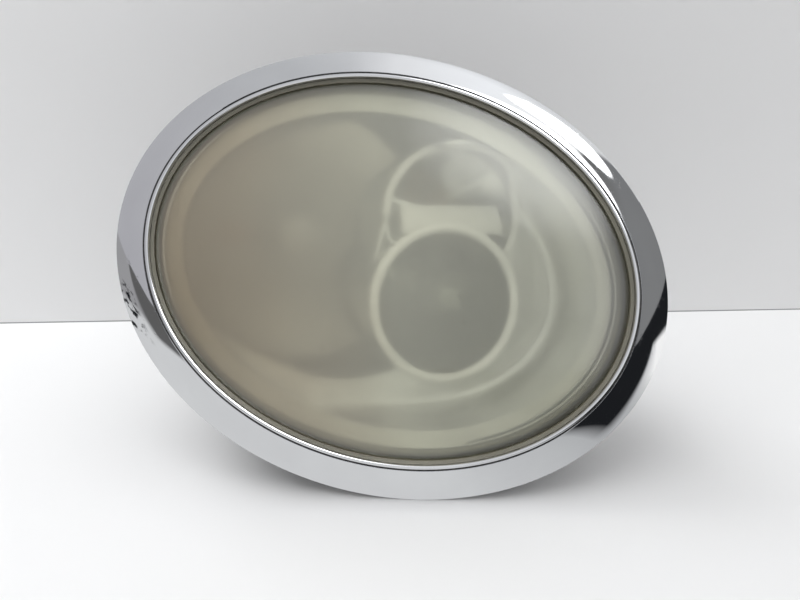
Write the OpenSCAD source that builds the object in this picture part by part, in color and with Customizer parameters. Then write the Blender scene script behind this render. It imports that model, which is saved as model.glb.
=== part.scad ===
// Oval car headlight, standing on the lower edge of its trim ring and on its rear legs.
// Lamp frame: origin at the centre of the ring's front opening, +X to the right along the oval,
// +Y into the lamp, +Z up across the oval. place() sets that frame in the resting pose.
// Optic frame: turned about the lamp's upright axis, u to the right, v up, s rearward along the beam.

/* [Stance] */
// Turn of the oval in its own plane, right end down, degrees
roll = 14.4; // [0:0.1:20]
// Lean of the front face backwards from upright, degrees
lean = 22; // [18:0.5:26]
// Sideways turn of the beam axis from the face of the lamp, degrees
beam_yaw = 20; // [14:0.5:24]

/* [Trim ring] */
// Overall width of the trim ring
ring_w = 270; // [262:1:280]
// Overall height of the trim ring
ring_h = 212; // [206:1:222]
// Visible width of the ring's flange at its left and right ends
flange_w = 18; // [16:0.5:20]
// Visible width of the ring's flange at top and bottom
flange_h = 16; // [14:0.5:18]
// How far the flange's outer edge sits behind its inner edge
flange_drop = 12; // [10:0.5:14]
// How much lower the outer oval sits than the opening
ring_offset = 1.5; // [0:0.25:2]
// Thickness of the ring's pressed wall
ring_wall = 1.8; // [1.4:0.1:2.2]
// Depth of the ring's inner wall behind its front edge
ring_depth = 12; // [11:0.5:13]

/* [Cover lens] */
// Rise of the clear cover above its own edge
dome_rise = 15; // [10:0.5:18]
// Thickness of the clear cover
lens_wall = 2.8; // [2.4:0.1:3.2]
// Gap between the ring and the cover's edge, filled by the seal
lens_gap = 2; // [1.6:0.1:2.4]
// Depth at which the cover's face meets its edge
lens_edge = 3.4; // [2.5:0.1:4]

/* [Housing] */
// Thickness of the housing's walls
wall = 2.5; // [2:0.1:3]
// Depth of the glue channel's floor behind the ring's front edge
channel_depth = 21; // [20:0.5:22]
// Distance of the rear wall behind the optic frame's origin
rear_depth = 100; // [97:1:108]
// Width of the rear wall
rear_w = 160; // [152:1:166]
// Height of the rear wall
rear_h = 130; // [126:1:132]
// Depth of the optic frame's origin behind the ring's front edge
optic_y = 24; // [22:0.5:27]
// Length of the collars around the bulb ports
collar_len = 12; // [10:0.5:15]
// Thickness of the rear legs
leg_t = 5; // [4:0.5:8]
// Length of each rear leg's foot along the lamp
leg_foot = 22; // [14:1:30]

/* [Fixing ears] */
// Diameter of the circle through the four fixing holes
fixing_pcd = 208; // [204:0.5:210]
// Bore of the steel sleeves in the fixing ears
sleeve_bore = 6.6; // [5.5:0.1:7]
// Outside diameter of the steel sleeves
sleeve_d = 10; // [9:0.5:11]
// Thickness of the fixing ears
ear_t = 4; // [3:0.5:6]

/* [Low beam] */
// Diameter of the projector lens
low_lens_d = 69; // [64:1:70]
// Height of the projector lens's curved face
low_lens_rise = 20; // [16:0.5:22]
// Outside diameter of the projector's shroud
shroud_d = 79.2; // [78:0.2:82]
// Bore of the low beam's rear port
low_port_d = 53; // [50:1:54]

/* [Main beam] */
// Diameter of the main reflector's bowl at its rim
main_rim_d = 124; // [116:1:126]
// Focal length of the main reflector
main_focus = 20; // [18:0.5:22]
// Bore of the main beam's rear port
main_port_d = 54; // [50:1:56]

/* [Indicator] */
// Outside diameter of the indicator's shroud
ind_shroud_d = 73; // [70:1:74]
// Bore of the indicator's rear port
ind_port_d = 22; // [20:1:23]

/* [Bulbs] */
// Diameter of the main and low beam bulb glass
bulb_d = 12; // [10:0.5:13]
// Length of the main and low beam bulb glass
bulb_len = 25; // [20:1:28]
// Diameter of the round flange on each bulb base
base_flange_d = 34; // [30:1:36]
// Wire thickness of the bulb clips
clip_wire = 1.8; // [1.4:0.1:2.2]

/* [Hidden] */

seg = 72;
$fn = 64;
// Shift that brings the middle of the resting box over the origin
stand_x = 0.37;
stand_y = -63.25;

// Ring derived sizes
open_a = ring_w/2 - flange_w;
open_b = ring_h/2 - flange_h;
bead = 0.05;
lip = 0.9;
function flange_y(t) = flange_drop*(0.45*t + 0.55*t*t);
function reach_down(a, b, y, cz) =
    -(cz*cos(roll) - sqrt(pow(a*sin(roll), 2) + pow(b*cos(roll), 2)))*cos(lean) + y*sin(lean);
lift = reach_down(ring_w/2, ring_h/2, flange_drop + lip, -ring_offset);

// Cover and channel derived sizes
lens_a = open_a - bead*flange_w - lens_gap;
lens_b = open_b - bead*flange_h - lens_gap;
fit = 0.3;
channel_out = 5;
channel_in = 2.6;
skirt_gap = 0.2;
flange_plate_y = 16;
flange_plate_t = 2.5;
plate_inset = [6, 6.5];
flange_plate_a = ring_w/2 - plate_inset[0];
flange_plate_b = ring_h/2 - plate_inset[1];
seal_t = 5.5;
clip_reach = 3;

// Bucket derived sizes
bucket_a = lens_a - 1.5;
bucket_b = lens_b - 2.5;
bucket_y = 45;
rear_u = -3;
port_wall = 2.5;
leg_x = [-50, 30];

// Ear sizes
ear_y = 30;
ear_r = 7;

// Optic axes, [u, v]
low_at = [27.9, -7.6];
main_at = [-42, 8];
ind_at = [24, 36.3];
ind_neck = ind_at + [0, 6];
side_at = main_at + [-29, -9];
low_s = -12.9;
ind_s = 2.8;
main_s = 23;

// Plate that carries the optics, and the three points that hold it
plate_s = 56;
plate_t = 4;
plate_a = 80;
plate_b = 64;
plate_u = -2;
pivot_at = [-8, -45];
lift_at = [-8, 52];
aim_at = [40, pivot_at[1]];
ball_r = 4;
ball_play = 0.09;
ball_s = plate_s + plate_t + 8;
rod_r = 2.2;
run = 0.05;
bush_in = min(20, rear_depth - ball_s - ball_r - 3);
knob_r = 7.2;
socket_r = ball_r + 2;

// Posts of the mask: [u, v, s of its front end]
posts = [[68, 30, 6.5], [60, -42, 7], [-34, -61, 14]];
post_r = 3.5;
screw_r = 1.8;
screw_in = 11;

// Main reflector derived sizes
main_r = main_rim_d/2;
main_deep = main_r*main_r/(4*main_focus);
main_back = main_s + main_deep;
main_seat = main_back + 1.5;
bowl_t = 2;
main_hole = 9;
seat_r = 19;
flange_t = 3;
base_flange_t = 2.5;

mask_a = bucket_a - wall - 6;
mask_b = bucket_b - wall - 6;

// Low beam derived sizes
low_r = low_lens_d/2;
shroud_r = shroud_d/2;
shroud_t = 2;
lens_recess = 7;
lens_front = low_s + lens_recess;
lens_back = lens_front + low_lens_rise + 3;
holder_r = low_r + 2.3;
cutoff_s = 43;
low_bowl_s = cutoff_s + 1;
low_back = 72;
low_seat = low_back + 2;
low_mouth = 31;

// Indicator derived sizes
ind_r = ind_shroud_d/2;
ind_bowl_r = ind_r - 2.5;
ind_back = 42;
shelf_v = 35.5;
ind_bulb_r = 6.5;

// Caps and ports
main_port_r = main_port_d/2;
low_port_r = low_port_d/2;
ind_port_r = ind_port_d/2;
collar_end = rear_depth + collar_len;
cap_t = 3;
cap_grip = 9;
seal_ring_t = 1.5;

// Motor, connector, breather
motor_at = [-18, 56];
motor_w = 50;
motor_h = 28;
motor_deep = 24;
motor_neck = 9;
conn_at = [-40, -36];
conn_w = 26;
conn_h = 18;
conn_deep = 20;
breather_at = [-4, 22];

// Points of an oval with half sizes a and b
function oval(a, b) = [for (i = [0:seg-1]) [a*cos(360*i/seg), b*sin(360*i/seg)]];

// Ring of points around an oval at depth y in the lamp frame
function face_ring(a, b, y, cz = 0) = [for (p = oval(a, b)) [p[0], y, cz + p[1]]];

// Lamp-frame point of an optic-frame point
function beam_point(u, v, s) =
    [u*cos(beam_yaw) - s*sin(beam_yaw), optic_y + u*sin(beam_yaw) + s*cos(beam_yaw), v];

// Ring of points around an oval at depth s in the optic frame
function beam_ring(a, b, s, u0 = 0) = [for (p = oval(a, b)) beam_point(u0 + p[0], p[1], s)];

// Closed skin through rings of points; hoop joins the last ring to the first
module skin(rings, hoop = false) {
    n = len(rings[0]);
    m = len(rings);
    last = hoop ? m - 1 : m - 2;
    points = [for (r = rings, p = r) p];
    sides = [for (j = [0:last], i = [0:n-1])
        let (a = j*n + i, b = j*n + (i + 1)%n, k = ((j + 1)%m)*n)
        each [[a, b, k + (i + 1)%n], [a, k + (i + 1)%n, k + i]]];
    front = [[for (i = [0:n-1]) n - 1 - i]];
    back = [[for (i = [0:n-1]) (m - 1)*n + i]];
    polyhedron(points, hoop ? sides : concat(front, sides, back), convexity = 6);
}

// Straight oval block between two depths of the lamp frame
module oval_block(a, b, y0, y1) {
    translate([0, y1, 0]) rotate([90, 0, 0]) linear_extrude(y1 - y0) polygon(oval(a, b));
}

// Straight oval band between two depths of the lamp frame
module oval_band(a, b, t, y0, y1) {
    translate([0, y1, 0]) rotate([90, 0, 0]) linear_extrude(y1 - y0) difference() {
        polygon(oval(a, b));
        polygon(oval(a - t, b - t));
    }
}

// Sets the lamp frame in the resting pose, with the floor at Z = 0
module place() {
    translate([stand_x, stand_y, lift]) rotate([-lean, 0, 0]) rotate([0, roll, 0]) children();
}

// Places children in the optic frame, their +Z pointing forward along the beam
module beam(at, s) {
    translate([0, optic_y, 0]) rotate([0, 0, beam_yaw]) rotate([90, 0, 0])
        translate([at[0], at[1], -s]) children();
}

// Round rod, or a tube with a bore, from depth s0 to s1 along the beam
module rod(at, s0, s1, r, bore = 0) {
    beam(at, s1) difference() {
        cylinder(h = s1 - s0, r = r);
        if (bore > 0) translate([0, 0, -1]) cylinder(h = s1 - s0 + 2, r = bore);
    }
}

// Turned shape along the beam: points are [radius, s]
module turned(at, points) {
    beam(at, 0) rotate_extrude() polygon([for (p = points) [p[0], -p[1]]]);
}

// Box in the optic frame
module beam_box(at, s0, s1, w, h) {
    beam(at, s1) translate([-w/2, -h/2, 0]) cube([w, h, s1 - s0]);
}

// Places children at an oval's edge, their +X pointing outward
module at_oval(a, b, t, y) {
    translate([a*cos(t), y, b*sin(t)]) rotate([0, -atan2(a*sin(t), b*cos(t)), 0]) children();
}

function ring_at(t, y) =
    face_ring(open_a + t*flange_w, open_b + t*flange_h, y, -ring_offset*max(0, t));

// Pressed and plated ring: inner wall, rolled bead, groove, curved flange and turned-back lip
module trim_ring() {
    front = [[-bead, ring_depth], [-bead, 0.9], [-0.6*bead, 0.2], [0, 0], [0.6*bead, 0.2], [bead, 0.9]];
    groove = [[1.4*bead, 1.4], [2.2*bead, 1.4], [2.8*bead, flange_y(0.16) - 0.4]];
    face = [for (t = [0.16:0.12:0.95]) [t, flange_y(t)]];
    edge = [[1, flange_drop], [1, flange_drop + lip], [0.97, flange_drop + lip + 0.2]];
    under = [for (t = [0.9:-0.2:0.2]) [t, flange_y(t) + ring_wall]];
    inner = [[1.6*bead, flange_y(0.1) + ring_wall + 0.8], [1.6*bead, ring_depth]];
    section = concat(front, groove, face, edge, under, inner);
    color("gainsboro") place() skin([for (p = section) ring_at(p[0], p[1])], hoop = true);
}

// Spring clips that hold the trim ring on the housing's flange
module ring_clips() {
    clip_w = 14;
    color("dimgray") place() for (t = [20, 90, 160, 229, 270, 335]) {
        at_oval(flange_plate_a, flange_plate_b, t, 0) {
            translate([0.3, flange_plate_y - 2.2, -clip_w/2]) cube([1.2, flange_plate_t + 3.4, clip_w]);
            translate([-clip_reach, flange_plate_y + flange_plate_t, -clip_w/2])
                cube([clip_reach + 1, 1.2, clip_w]);
            translate([-clip_reach, flange_plate_y - 1.2, -clip_w/2]) cube([clip_reach + 1, 1.2, clip_w]);
        }
    }
}

// Domed clear cover with a rounded shoulder and a skirt
module cover_lens() {
    function dome(f) = lens_edge - dome_rise*(1 - f*f);
    scale_in = [0.06, 0.25, 0.45, 0.62, 0.77, 0.89];
    shoulder = 2.4;
    outer = [for (f = scale_in) face_ring(f*lens_a, f*lens_b, dome(f))];
    turn = [
        face_ring(lens_a - shoulder, lens_b - shoulder, dome(1 - shoulder/lens_a)),
        face_ring(lens_a - 0.3*shoulder, lens_b - 0.3*shoulder, lens_edge + 0.6),
        face_ring(lens_a, lens_b, lens_edge + shoulder),
        face_ring(lens_a, lens_b, channel_depth - skirt_gap)
    ];
    ia = lens_a - lens_wall;
    ib = lens_b - lens_wall;
    inner = [for (i = [5:-1:0]) let (f = scale_in[i]) face_ring(f*ia, f*ib, dome(f) + lens_wall)];
    back = [
        face_ring(ia, ib, channel_depth - skirt_gap),
        face_ring(ia, ib, lens_edge + shoulder + lens_wall),
        face_ring(ia - shoulder, ib - shoulder, dome(1 - shoulder/lens_a) + lens_wall + 0.2)
    ];
    color("lightgoldenrodyellow", 0.6) place() skin(concat(outer, turn, back, inner));
}

// Thin rubber seal between the cover's edge and the ring's inner wall
module lens_seal() {
    gap = 0.1;
    color("black") place() oval_band(lens_a + lens_gap - gap, lens_b + lens_gap - gap,
        lens_gap - 2*gap, lens_edge - 0.4, lens_edge + 5);
}

// Foam seal behind the flange, against the car's wing
module body_seal() {
    y0 = flange_plate_y + flange_plate_t;
    side = clip_reach + 0.4;
    rim = skirt_gap + channel_out + 0.1;
    color("black") place() difference() {
        oval_block(flange_plate_a - side, flange_plate_b - side, y0, y0 + seal_t);
        oval_block(lens_a + rim, lens_b + rim, y0 - 1, y0 + seal_t + 1);
    }
}

module bucket(inset) {
    back = rear_depth - inset;
    half_w = rear_w/2 - inset;
    half_h = rear_h/2 - inset;
    skin([
        face_ring(bucket_a - inset, bucket_b - inset, channel_depth - 2 - inset),
        face_ring(bucket_a - inset, bucket_b - inset, bucket_y),
        beam_ring(half_w + 5, half_h + 5, back - 18, rear_u),
        beam_ring(half_w + 3, half_h + 3, back - 5, rear_u),
        beam_ring(half_w, half_h, back, rear_u)
    ]);
}

// Housing walls, flange, glue channel, ears, collars and legs before they are hollowed
module housing_mass() {
    rim_a = lens_a + skirt_gap;
    rim_b = lens_b + skirt_gap;
    oval_block(rim_a + channel_out, rim_b + channel_out, ring_depth, channel_depth + wall);
    oval_block(flange_plate_a, flange_plate_b, flange_plate_y, flange_plate_y + flange_plate_t);
    bucket(0);
    for (t = [45:90:315]) rotate([0, -t, 0]) {
        translate([fixing_pcd/2, ear_y, 0]) rotate([-90, 0, 0]) cylinder(h = ear_t, r = ear_r);
        translate([fixing_pcd/2 - 26, ear_y, -ear_r]) cube([26, ear_t, 2*ear_r]);
        translate([fixing_pcd/2 - 30, ear_y, -wall/2]) cube([25, 22, wall]);
    }
    rod(main_at, rear_depth - 4, collar_end, main_port_r + port_wall);
    rod(low_at, rear_depth - 4, collar_end, low_port_r + port_wall);
    rod(ind_neck, rear_depth - 4, collar_end, ind_port_r + port_wall);
    rod(aim_at, rear_depth - bush_in - 2, rear_depth + 3, rod_r + 6);
    for (x = leg_x) leg(x);
}

// Depth of the rear wall's plane at x in the lamp frame
function rear_y(x) = optic_y + (x*sin(beam_yaw) + rear_depth)/cos(beam_yaw);

// Upright web under the bucket that ends at the rear wall and stands on the floor
module leg(x) {
    y1 = rear_y(x) - 1;
    y0 = y1 - leg_foot;
    translate([x + leg_t/2, 0, 0]) rotate([0, -90, 0]) linear_extrude(leg_t)
        polygon([[-30, y0 - 30], [-120, y0], [-120, y1], [-30, y1]]);
}

// Housing: bucket with glue channel, flange, ears, port collars, bosses and legs
module housing() {
    rim_a = lens_a + skirt_gap;
    rim_b = lens_b + skirt_gap;
    skirt = lens_wall + 2*skirt_gap;
    color([0.13, 0.13, 0.14]) difference() {
        place() difference() {
            housing_mass();
            oval_band(rim_a, rim_b, skirt, ring_depth - 1, channel_depth);
            oval_block(rim_a - skirt - channel_in, rim_b - skirt - channel_in, 0, bucket_y - 10);
            oval_block(rim_a - skirt, rim_b - skirt, 0, channel_depth - 7);
            bucket(wall);
            rod(main_at, rear_depth - 12, collar_end + 1, main_port_r);
            rod(low_at, rear_depth - 12, collar_end + 1, low_port_r);
            rod(ind_neck, rear_depth - 12, collar_end + 1, ind_port_r);
            rod(lift_at, rear_depth - 12, rear_depth + 1, motor_neck);
            rod(aim_at, ball_s, rear_depth + 8, rod_r + 3);
            rod(pivot_at, rear_depth - 12, rear_depth + 8, 4);
            rod(breather_at, rear_depth - 12, rear_depth + 8, 3);
            beam_box(conn_at, rear_depth - 8, rear_depth + 1, conn_w - 6, conn_h - 6);
            for (t = [45:90:315]) rotate([0, -t, 0]) translate([fixing_pcd/2, ear_y - 1, 0])
                rotate([-90, 0, 0]) cylinder(h = ear_t + 2, r = sleeve_d/2);
        }
        translate([-300, -300, -200]) cube([600, 600, 200]);
    }
}

// Steel sleeves in the four fixing ears
module fixing_sleeves() {
    proud = 0.5;
    color("silver") place() for (t = [45:90:315]) rotate([0, -t, 0])
        translate([fixing_pcd/2, ear_y - proud, 0]) rotate([-90, 0, 0]) difference() {
            cylinder(h = ear_t + 2*proud, r = sleeve_d/2);
            translate([0, 0, -1]) cylinder(h = ear_t + 2*proud + 2, r = sleeve_bore/2);
        }
}

// Rubber mushroom cap on the breather hole
module breather_cap() {
    color("black") place() {
        rod(breather_at, rear_depth - 4, rear_depth + 1, 3);
        rod(breather_at, rear_depth, rear_depth + 6, 6);
    }
}

// Plug shell on the rear wall, open to the rear
module connector_shell() {
    color([0.2, 0.2, 0.22]) place() difference() {
        union() {
            beam_box(conn_at, rear_depth, rear_depth + conn_deep, conn_w, conn_h);
            beam_box(conn_at, rear_depth - 5, rear_depth, conn_w - 6, conn_h - 6);
        }
        beam_box(conn_at, rear_depth + 3, rear_depth + conn_deep + 1, conn_w - 4, conn_h - 4);
        pins();
    }
}

module pins() {
    for (i = [-1:1], j = [-1, 1])
        beam_box(conn_at + [6*i, 3.2*j], rear_depth - 9, rear_depth + 12, 1.8, 0.8);
}

// Brass pins of the plug, through its floor
module connector_pins() {
    color("goldenrod") place() pins();
}

// Electric motor that tips the optics up and down
module levelling_motor() {
    color([0.16, 0.16, 0.17]) place() difference() {
        union() {
            beam_box(motor_at, rear_depth, rear_depth + motor_deep, motor_w, motor_h);
            rod(lift_at, rear_depth - 8, rear_depth + 1, motor_neck);
            beam_box(motor_at + [15, -4], rear_depth + motor_deep - 1, rear_depth + motor_deep + 4, 16, 12);
        }
        rod(lift_at, rear_depth - 9, rear_depth + 18, rod_r + 1.5 + run);
    }
}

// Fixed ball stud that the optics turn about
module pivot_stud() {
    color("silver") place() {
        beam(pivot_at, ball_s) sphere(r = ball_r);
        rod(pivot_at, ball_s + 2, rear_depth + 5, rod_r);
        rod(pivot_at, rear_depth - wall - 3, rear_depth + 5, 4);
        rod(pivot_at, rear_depth, rear_depth + 4, 7);
    }
}

// Plastic bush that guides the aim screw
module aim_bush() {
    color("white") place() rod(aim_at, rear_depth - bush_in, rear_depth + 3, rod_r + 3, rod_r + run);
}

// Ball-ended socket insert: a round bead with a bore for the ball, open to the rear
module socket_bead(at) {
    beam(at, ball_s) difference() {
        sphere(r = socket_r);
        sphere(r = ball_r + ball_play);
        translate([0, 0, -socket_r - 1]) cylinder(h = socket_r - 2, r = socket_r);
    }
}

// Nylon socket that swings on the fixed ball
module pivot_socket() {
    color("ivory") place() socket_bead(pivot_at);
}

// Plate behind the reflectors, with a cup at each of its three holding points
module carrier_plate() {
    cup = 1.5;
    color([0.3, 0.3, 0.32]) place() difference() {
        union() {
            beam([plate_u, 0], plate_s + plate_t) linear_extrude(plate_t) polygon(oval(plate_a, plate_b));
            for (at = [pivot_at, lift_at, aim_at])
                rod(at, plate_s, ball_s + ball_r, socket_r + fit + cup);
            for (p = posts) rod([p[0], p[1]], plate_s, plate_s + plate_t, post_r + 1.2);
        }
        for (at = [pivot_at, lift_at, aim_at])
            rod(at, ball_s - socket_r - fit, ball_s + 6, socket_r + run);
        rod(main_at, plate_s - 1, plate_s + plate_t + 1, 39);
        rod(low_at, plate_s - 1, plate_s + plate_t + 1, low_mouth + 0.5);
        rod(ind_neck, plate_s - 1, plate_s + plate_t + 1, ind_bulb_r + 0.7);
        rod(side_at, plate_s - 1, plate_s + plate_t + 1, 10);
        for (p = posts) rod([p[0], p[1]], plate_s - 1, plate_s + plate_t + 1, screw_r + run);
    }
}

// Bright mask around the three lights, with the stepped shrouds of the projector and indicator
module bezel() {
    skin_t = 2.2;
    tube_len = 27;
    brow = 17;
    ind_tube = 14;
    mask_eye = [-28, 14.5];
    mask_eye_r = 74;
    middle = (low_at + ind_at)/2;
    shares = [[0.05, 1], [0.35, 1], [0.6, 1], [0.8, 1], [0.9, 0.8], [0.96, 0.45], [1, 0]];
    function mask_y(x, k) = let (rim = 19 + 0.07*x) rim + k*(31 + 0.34*max(x, -20) - rim);
    function mask_ring(f, k, t) = [for (p = oval(f*mask_a, f*mask_b)) [p[0], mask_y(p[0], k) + t, p[1]]];
    color("gainsboro") place() {
        difference() {
            skin(concat([for (g = shares) mask_ring(g[0], g[1], 0)],
                [for (i = [len(shares)-1:-1:0]) mask_ring(shares[i][0], shares[i][1], skin_t)]));
            translate([mask_eye[0], rear_depth, mask_eye[1]]) rotate([90, 0, 0])
                cylinder(h = rear_depth, r = mask_eye_r);
            rod(low_at, -60, 90, shroud_r - 0.5);
            rod(ind_at, -60, 90, ind_r - 0.5);
            rod(main_at, -60, 90, main_r + 2.4);
        }
        turned(low_at, [[shroud_r - shroud_t, low_s + tube_len], [shroud_r - shroud_t, low_s + 1.2],
            [shroud_r - 0.8*shroud_t, low_s + 0.3], [shroud_r - shroud_t/2, low_s],
            [shroud_r - 0.2*shroud_t, low_s + 0.3], [shroud_r, low_s + 1.2], [shroud_r, low_s + tube_len]]);
        difference() {
            union() {
                rod(ind_at, ind_s, ind_s + ind_tube, ind_r, ind_r - shroud_t);
                intersection() {
                    rod(ind_at, ind_s - brow, ind_s + 1, ind_r, ind_r - shroud_t);
                    beam_box(ind_at + [0, ind_r], ind_s - brow, ind_s + 1, 2*ind_r, 14);
                }
                difference() {
                    beam_box(middle, ind_s, ind_s + ind_tube, 2*ind_r, 20);
                    beam_box(middle, ind_s - 1, ind_s + ind_tube + 1, 2*(ind_r - shroud_t), 22);
                    rod(ind_at, -60, 90, ind_r - 0.5);
                }
            }
            rod(low_at, -60, 90, shroud_r - 0.5);
        }
        for (p = posts) rod([p[0], p[1]], p[2], plate_s - screw_in, post_r);
        for (p = posts) rod([p[0], p[1]], plate_s - screw_in, plate_s, post_r, screw_r);
    }
}

// Screws through the carrier's posts into the mask
module carrier_screws() {
    back = plate_s + plate_t;
    color("silver") place() for (p = posts) difference() {
        union() {
            rod([p[0], p[1]], back, back + 2.5, 3.6);
            rod([p[0], p[1]], plate_s - screw_in + 1, back + 1, screw_r);
        }
        beam_box([p[0], p[1]], back + 1.2, back + 3, 5, 1);
    }
}

// Nylon sockets for the balls of the levelling spindle and the aim screw
module adjuster_sockets() {
    color("ivory") place() {
        socket_bead(lift_at);
        socket_bead(aim_at);
    }
}

function bowl_s(r) = main_back - r*r/(4*main_focus);

// Main beam bowl, with a seat for the bulb and a flat flange on the carrier
module main_reflector() {
    radii = [main_hole, 16, 24, 32, 40, 48, 56, main_r];
    inside = [for (r = radii) [r, bowl_s(r)]];
    outside = [for (i = [len(radii)-1:-1:1]) [radii[i] + 0.8*bowl_t, bowl_s(radii[i]) + 0.6*bowl_t]];
    color("silver") place() difference() {
        union() {
            turned(main_at, concat(inside, outside, [[seat_r, main_seat - 3], [seat_r, main_seat],
                [main_hole, main_seat]]));
            turned(main_at, [[39, plate_s - flange_t], [44, plate_s - flange_t], [44, plate_s],
                [38, plate_s]]);
        }
        rod(low_at, -40, 100, shroud_r + 0.6);
        rod(ind_at, -40, 100, ind_r + 0.6);
        difference() {
            oval_block(ring_w, ring_h, 0, rear_depth);
            oval_block(mask_a - 0.5, mask_b - 0.5, -1, rear_depth + 1);
        }
        rod(side_at, 20, 90, 6.5);
    }
}

// Halogen bulb glass with a pointed tip
module bulb_glass(at, back) {
    r = bulb_d/2;
    turned(at, [[0, back + 2], [r - 1, back + 2], [r, back], [r, back - bulb_len + 6],
        [r - 1.5, back - bulb_len + 2.5], [r - 4, back - bulb_len + 0.6], [0, back - bulb_len]]);
}

// Bulb base: round flange on the seat, body and two flat blades
module bulb_base(at, back) {
    color("darkgray") {
        rod(at, back, back + base_flange_t, base_flange_d/2, bulb_d/2 + run);
        rod(at, back + base_flange_t, back + 9, 10, 5.2);
        rod(at, back + 6, back + 9, 10);
        for (i = [-1, 1]) beam_box(at + [5*i, 0], back + 9, back + 15, 0.8, 6);
    }
}

module main_bulb() {
    color("white", 0.5) place() bulb_glass(main_at, main_seat);
}

module main_bulb_base() {
    place() bulb_base(main_at, main_seat);
}

// Cup in front of the main bulb, on an arm from the seat
module main_bulb_shield() {
    tip = main_back - bulb_len;
    cup_r = 9.5;
    color("silver") place() {
        rod(main_at, tip - 4, tip + 10, cup_r, cup_r - 1);
        rod(main_at, tip - 5, tip - 4, cup_r);
        beam_box(main_at - [0, cup_r + 0.2], tip - 5, bowl_s(cup_r) - 0.3, 4, 1.4);
    }
}

// Wedge bulb of the side light
module side_bulb() {
    back = bowl_s(30) + 1;
    color("orange", 0.7) place() turned(side_at, [[0, back + 3], [4, back + 3], [5, back - 6], [4, back - 10],
        [1.5, back - 12], [0, back - 12]]);
}

// Push-in holder of the side bulb
module side_holder() {
    back = bowl_s(30) + 1;
    color("dimgray") place() {
        rod(side_at, back + 3, back + 16, 6.3);
        rod(side_at, back - 4, back + 3, 6.3, 5.3);
    }
}

// Thick projector lens, flat behind and domed in front
module low_lens() {
    bulge = (low_r*low_r + low_lens_rise*low_lens_rise)/(2*low_lens_rise);
    curve = [for (i = [0:6]) let (r = low_r*i/6)
        [r, lens_front + bulge - sqrt(bulge*bulge - r*r)]];
    color("lightblue", 0.7) place() turned(low_at, concat(curve, [[low_r, lens_back], [0, lens_back]]));
}

// Holder that joins the projector lens to its reflector, with three side windows
module low_lens_holder() {
    lip_r = low_r - 2;
    color("silver") place() difference() {
        union() {
            rod(low_at, lens_back - 4, cutoff_s, holder_r, low_r + run);
            rod(low_at, lens_back, lens_back + 2, holder_r - 1, lip_r);
        }
        for (t = [30:120:270]) beam(low_at, cutoff_s - 5) rotate([0, 0, t])
            translate([low_r - 6, -9, 0]) cube([14, 18, cutoff_s - lens_back - 10]);
    }
}

// Plate that cuts off the upper part of the beam, with a stepped edge
module cutoff_plate() {
    color("dimgray") place() difference() {
        rod(low_at, cutoff_s, low_bowl_s, holder_r);
        beam(low_at + [0, 16], cutoff_s + 1) translate([0, -16, -1]) intersection() {
            cylinder(h = 4, r = low_r - 4);
            union() {
                translate([-40, 0, 0]) cube([80, 40, 4]);
                translate([-40, -2, 0]) cube([40, 10, 4]);
            }
        }
    }
}

// Egg-shaped bowl of the low beam, with its front flange and carrier flange
module low_reflector() {
    deep = low_back - low_bowl_s;
    round = low_mouth - main_hole;
    t = 1.5;
    inside = [for (q = [90:-15:0]) [main_hole + round*cos(q), low_bowl_s + deep*sin(q)]];
    outside = [for (q = [0:15:75]) [main_hole + (round + t)*cos(q), low_bowl_s + (deep + t)*sin(q)]];
    color("silver") place() {
        turned(low_at, concat(inside, outside, [[seat_r, low_back], [seat_r, low_seat],
            [main_hole, low_seat]]));
        rod(low_at, low_bowl_s, low_bowl_s + 2.5, holder_r, low_mouth);
        rod(low_at, plate_s - flange_t, plate_s, holder_r, low_mouth - 1);
    }
}

module low_bulb() {
    color("white", 0.5) place() bulb_glass(low_at, low_seat);
}

module low_bulb_base() {
    place() bulb_base(low_at, low_seat);
}

// Indicator bowl above its flat shelf, with a neck on the carrier for the bulb
module indicator_reflector() {
    neck = 10;
    hole = ind_bulb_r + 0.7;
    deep = ind_back - ind_s - 2;
    inside = [for (i = [0:6]) let (r = ind_bowl_r*i/6)
        [r, ind_s + 2 + deep*(1 - pow(r/(ind_bowl_r + 0.5), 2))]];
    outside = [for (i = [6:-1:0]) [inside[i][0] + (i == 0 ? 0 : i == 6 ? 0.3 : 1.6), inside[i][1] + 1.6]];
    color("silver") place() difference() {
        union() {
            difference() {
                turned(ind_at, concat(inside, outside));
                beam_box([ind_at[0], shelf_v - 41], -20, plate_s, 120, 80);
            }
            difference() {
                rod(ind_neck, 24, plate_s, neck);
                rod(ind_at, ind_s, ind_back - 7, ind_bowl_r);
                turned(ind_at, concat([[0, 0], [ind_bowl_r, 0]], [for (i = [6:-1:0]) inside[i]]));
            }
            rod(ind_neck, plate_s - flange_t, plate_s, 12.5);
            intersection() {
                beam_box([ind_at[0], shelf_v], ind_s + 3, ind_back - 12, 2*ind_r, 2);
                rod(ind_at, ind_s, 60, ind_bowl_r);
            }
        }
        rod(ind_neck, 10, plate_s + 1, hole);
    }
}

module indicator_bulb() {
    r = ind_bulb_r;
    color("orange") place() turned(ind_neck, [[0, plate_s], [r - 1.5, plate_s], [r, plate_s - 14],
        [r, plate_s - 20], [r - 2, plate_s - 26], [0, plate_s - 28]]);
}

// Quarter-turn holder of the indicator bulb
module indicator_holder() {
    color("dimgray") place() {
        rod(ind_neck, plate_s, plate_s + 16, ind_bulb_r + 0.6);
        rod(ind_neck, plate_s + plate_t + fit, plate_s + plate_t + 3, 10.4);
        beam_box(ind_neck, plate_s + 16, plate_s + 24, 15, 4);
    }
}

// Ball-ended spindle of the levelling motor
module motor_spindle() {
    color("ivory") place() {
        beam(lift_at, ball_s) sphere(r = ball_r);
        rod(lift_at, ball_s + 2, rear_depth - 8, rod_r);
        rod(lift_at, rear_depth - 14, rear_depth + 12, rod_r + 1.5);
    }
}

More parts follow.
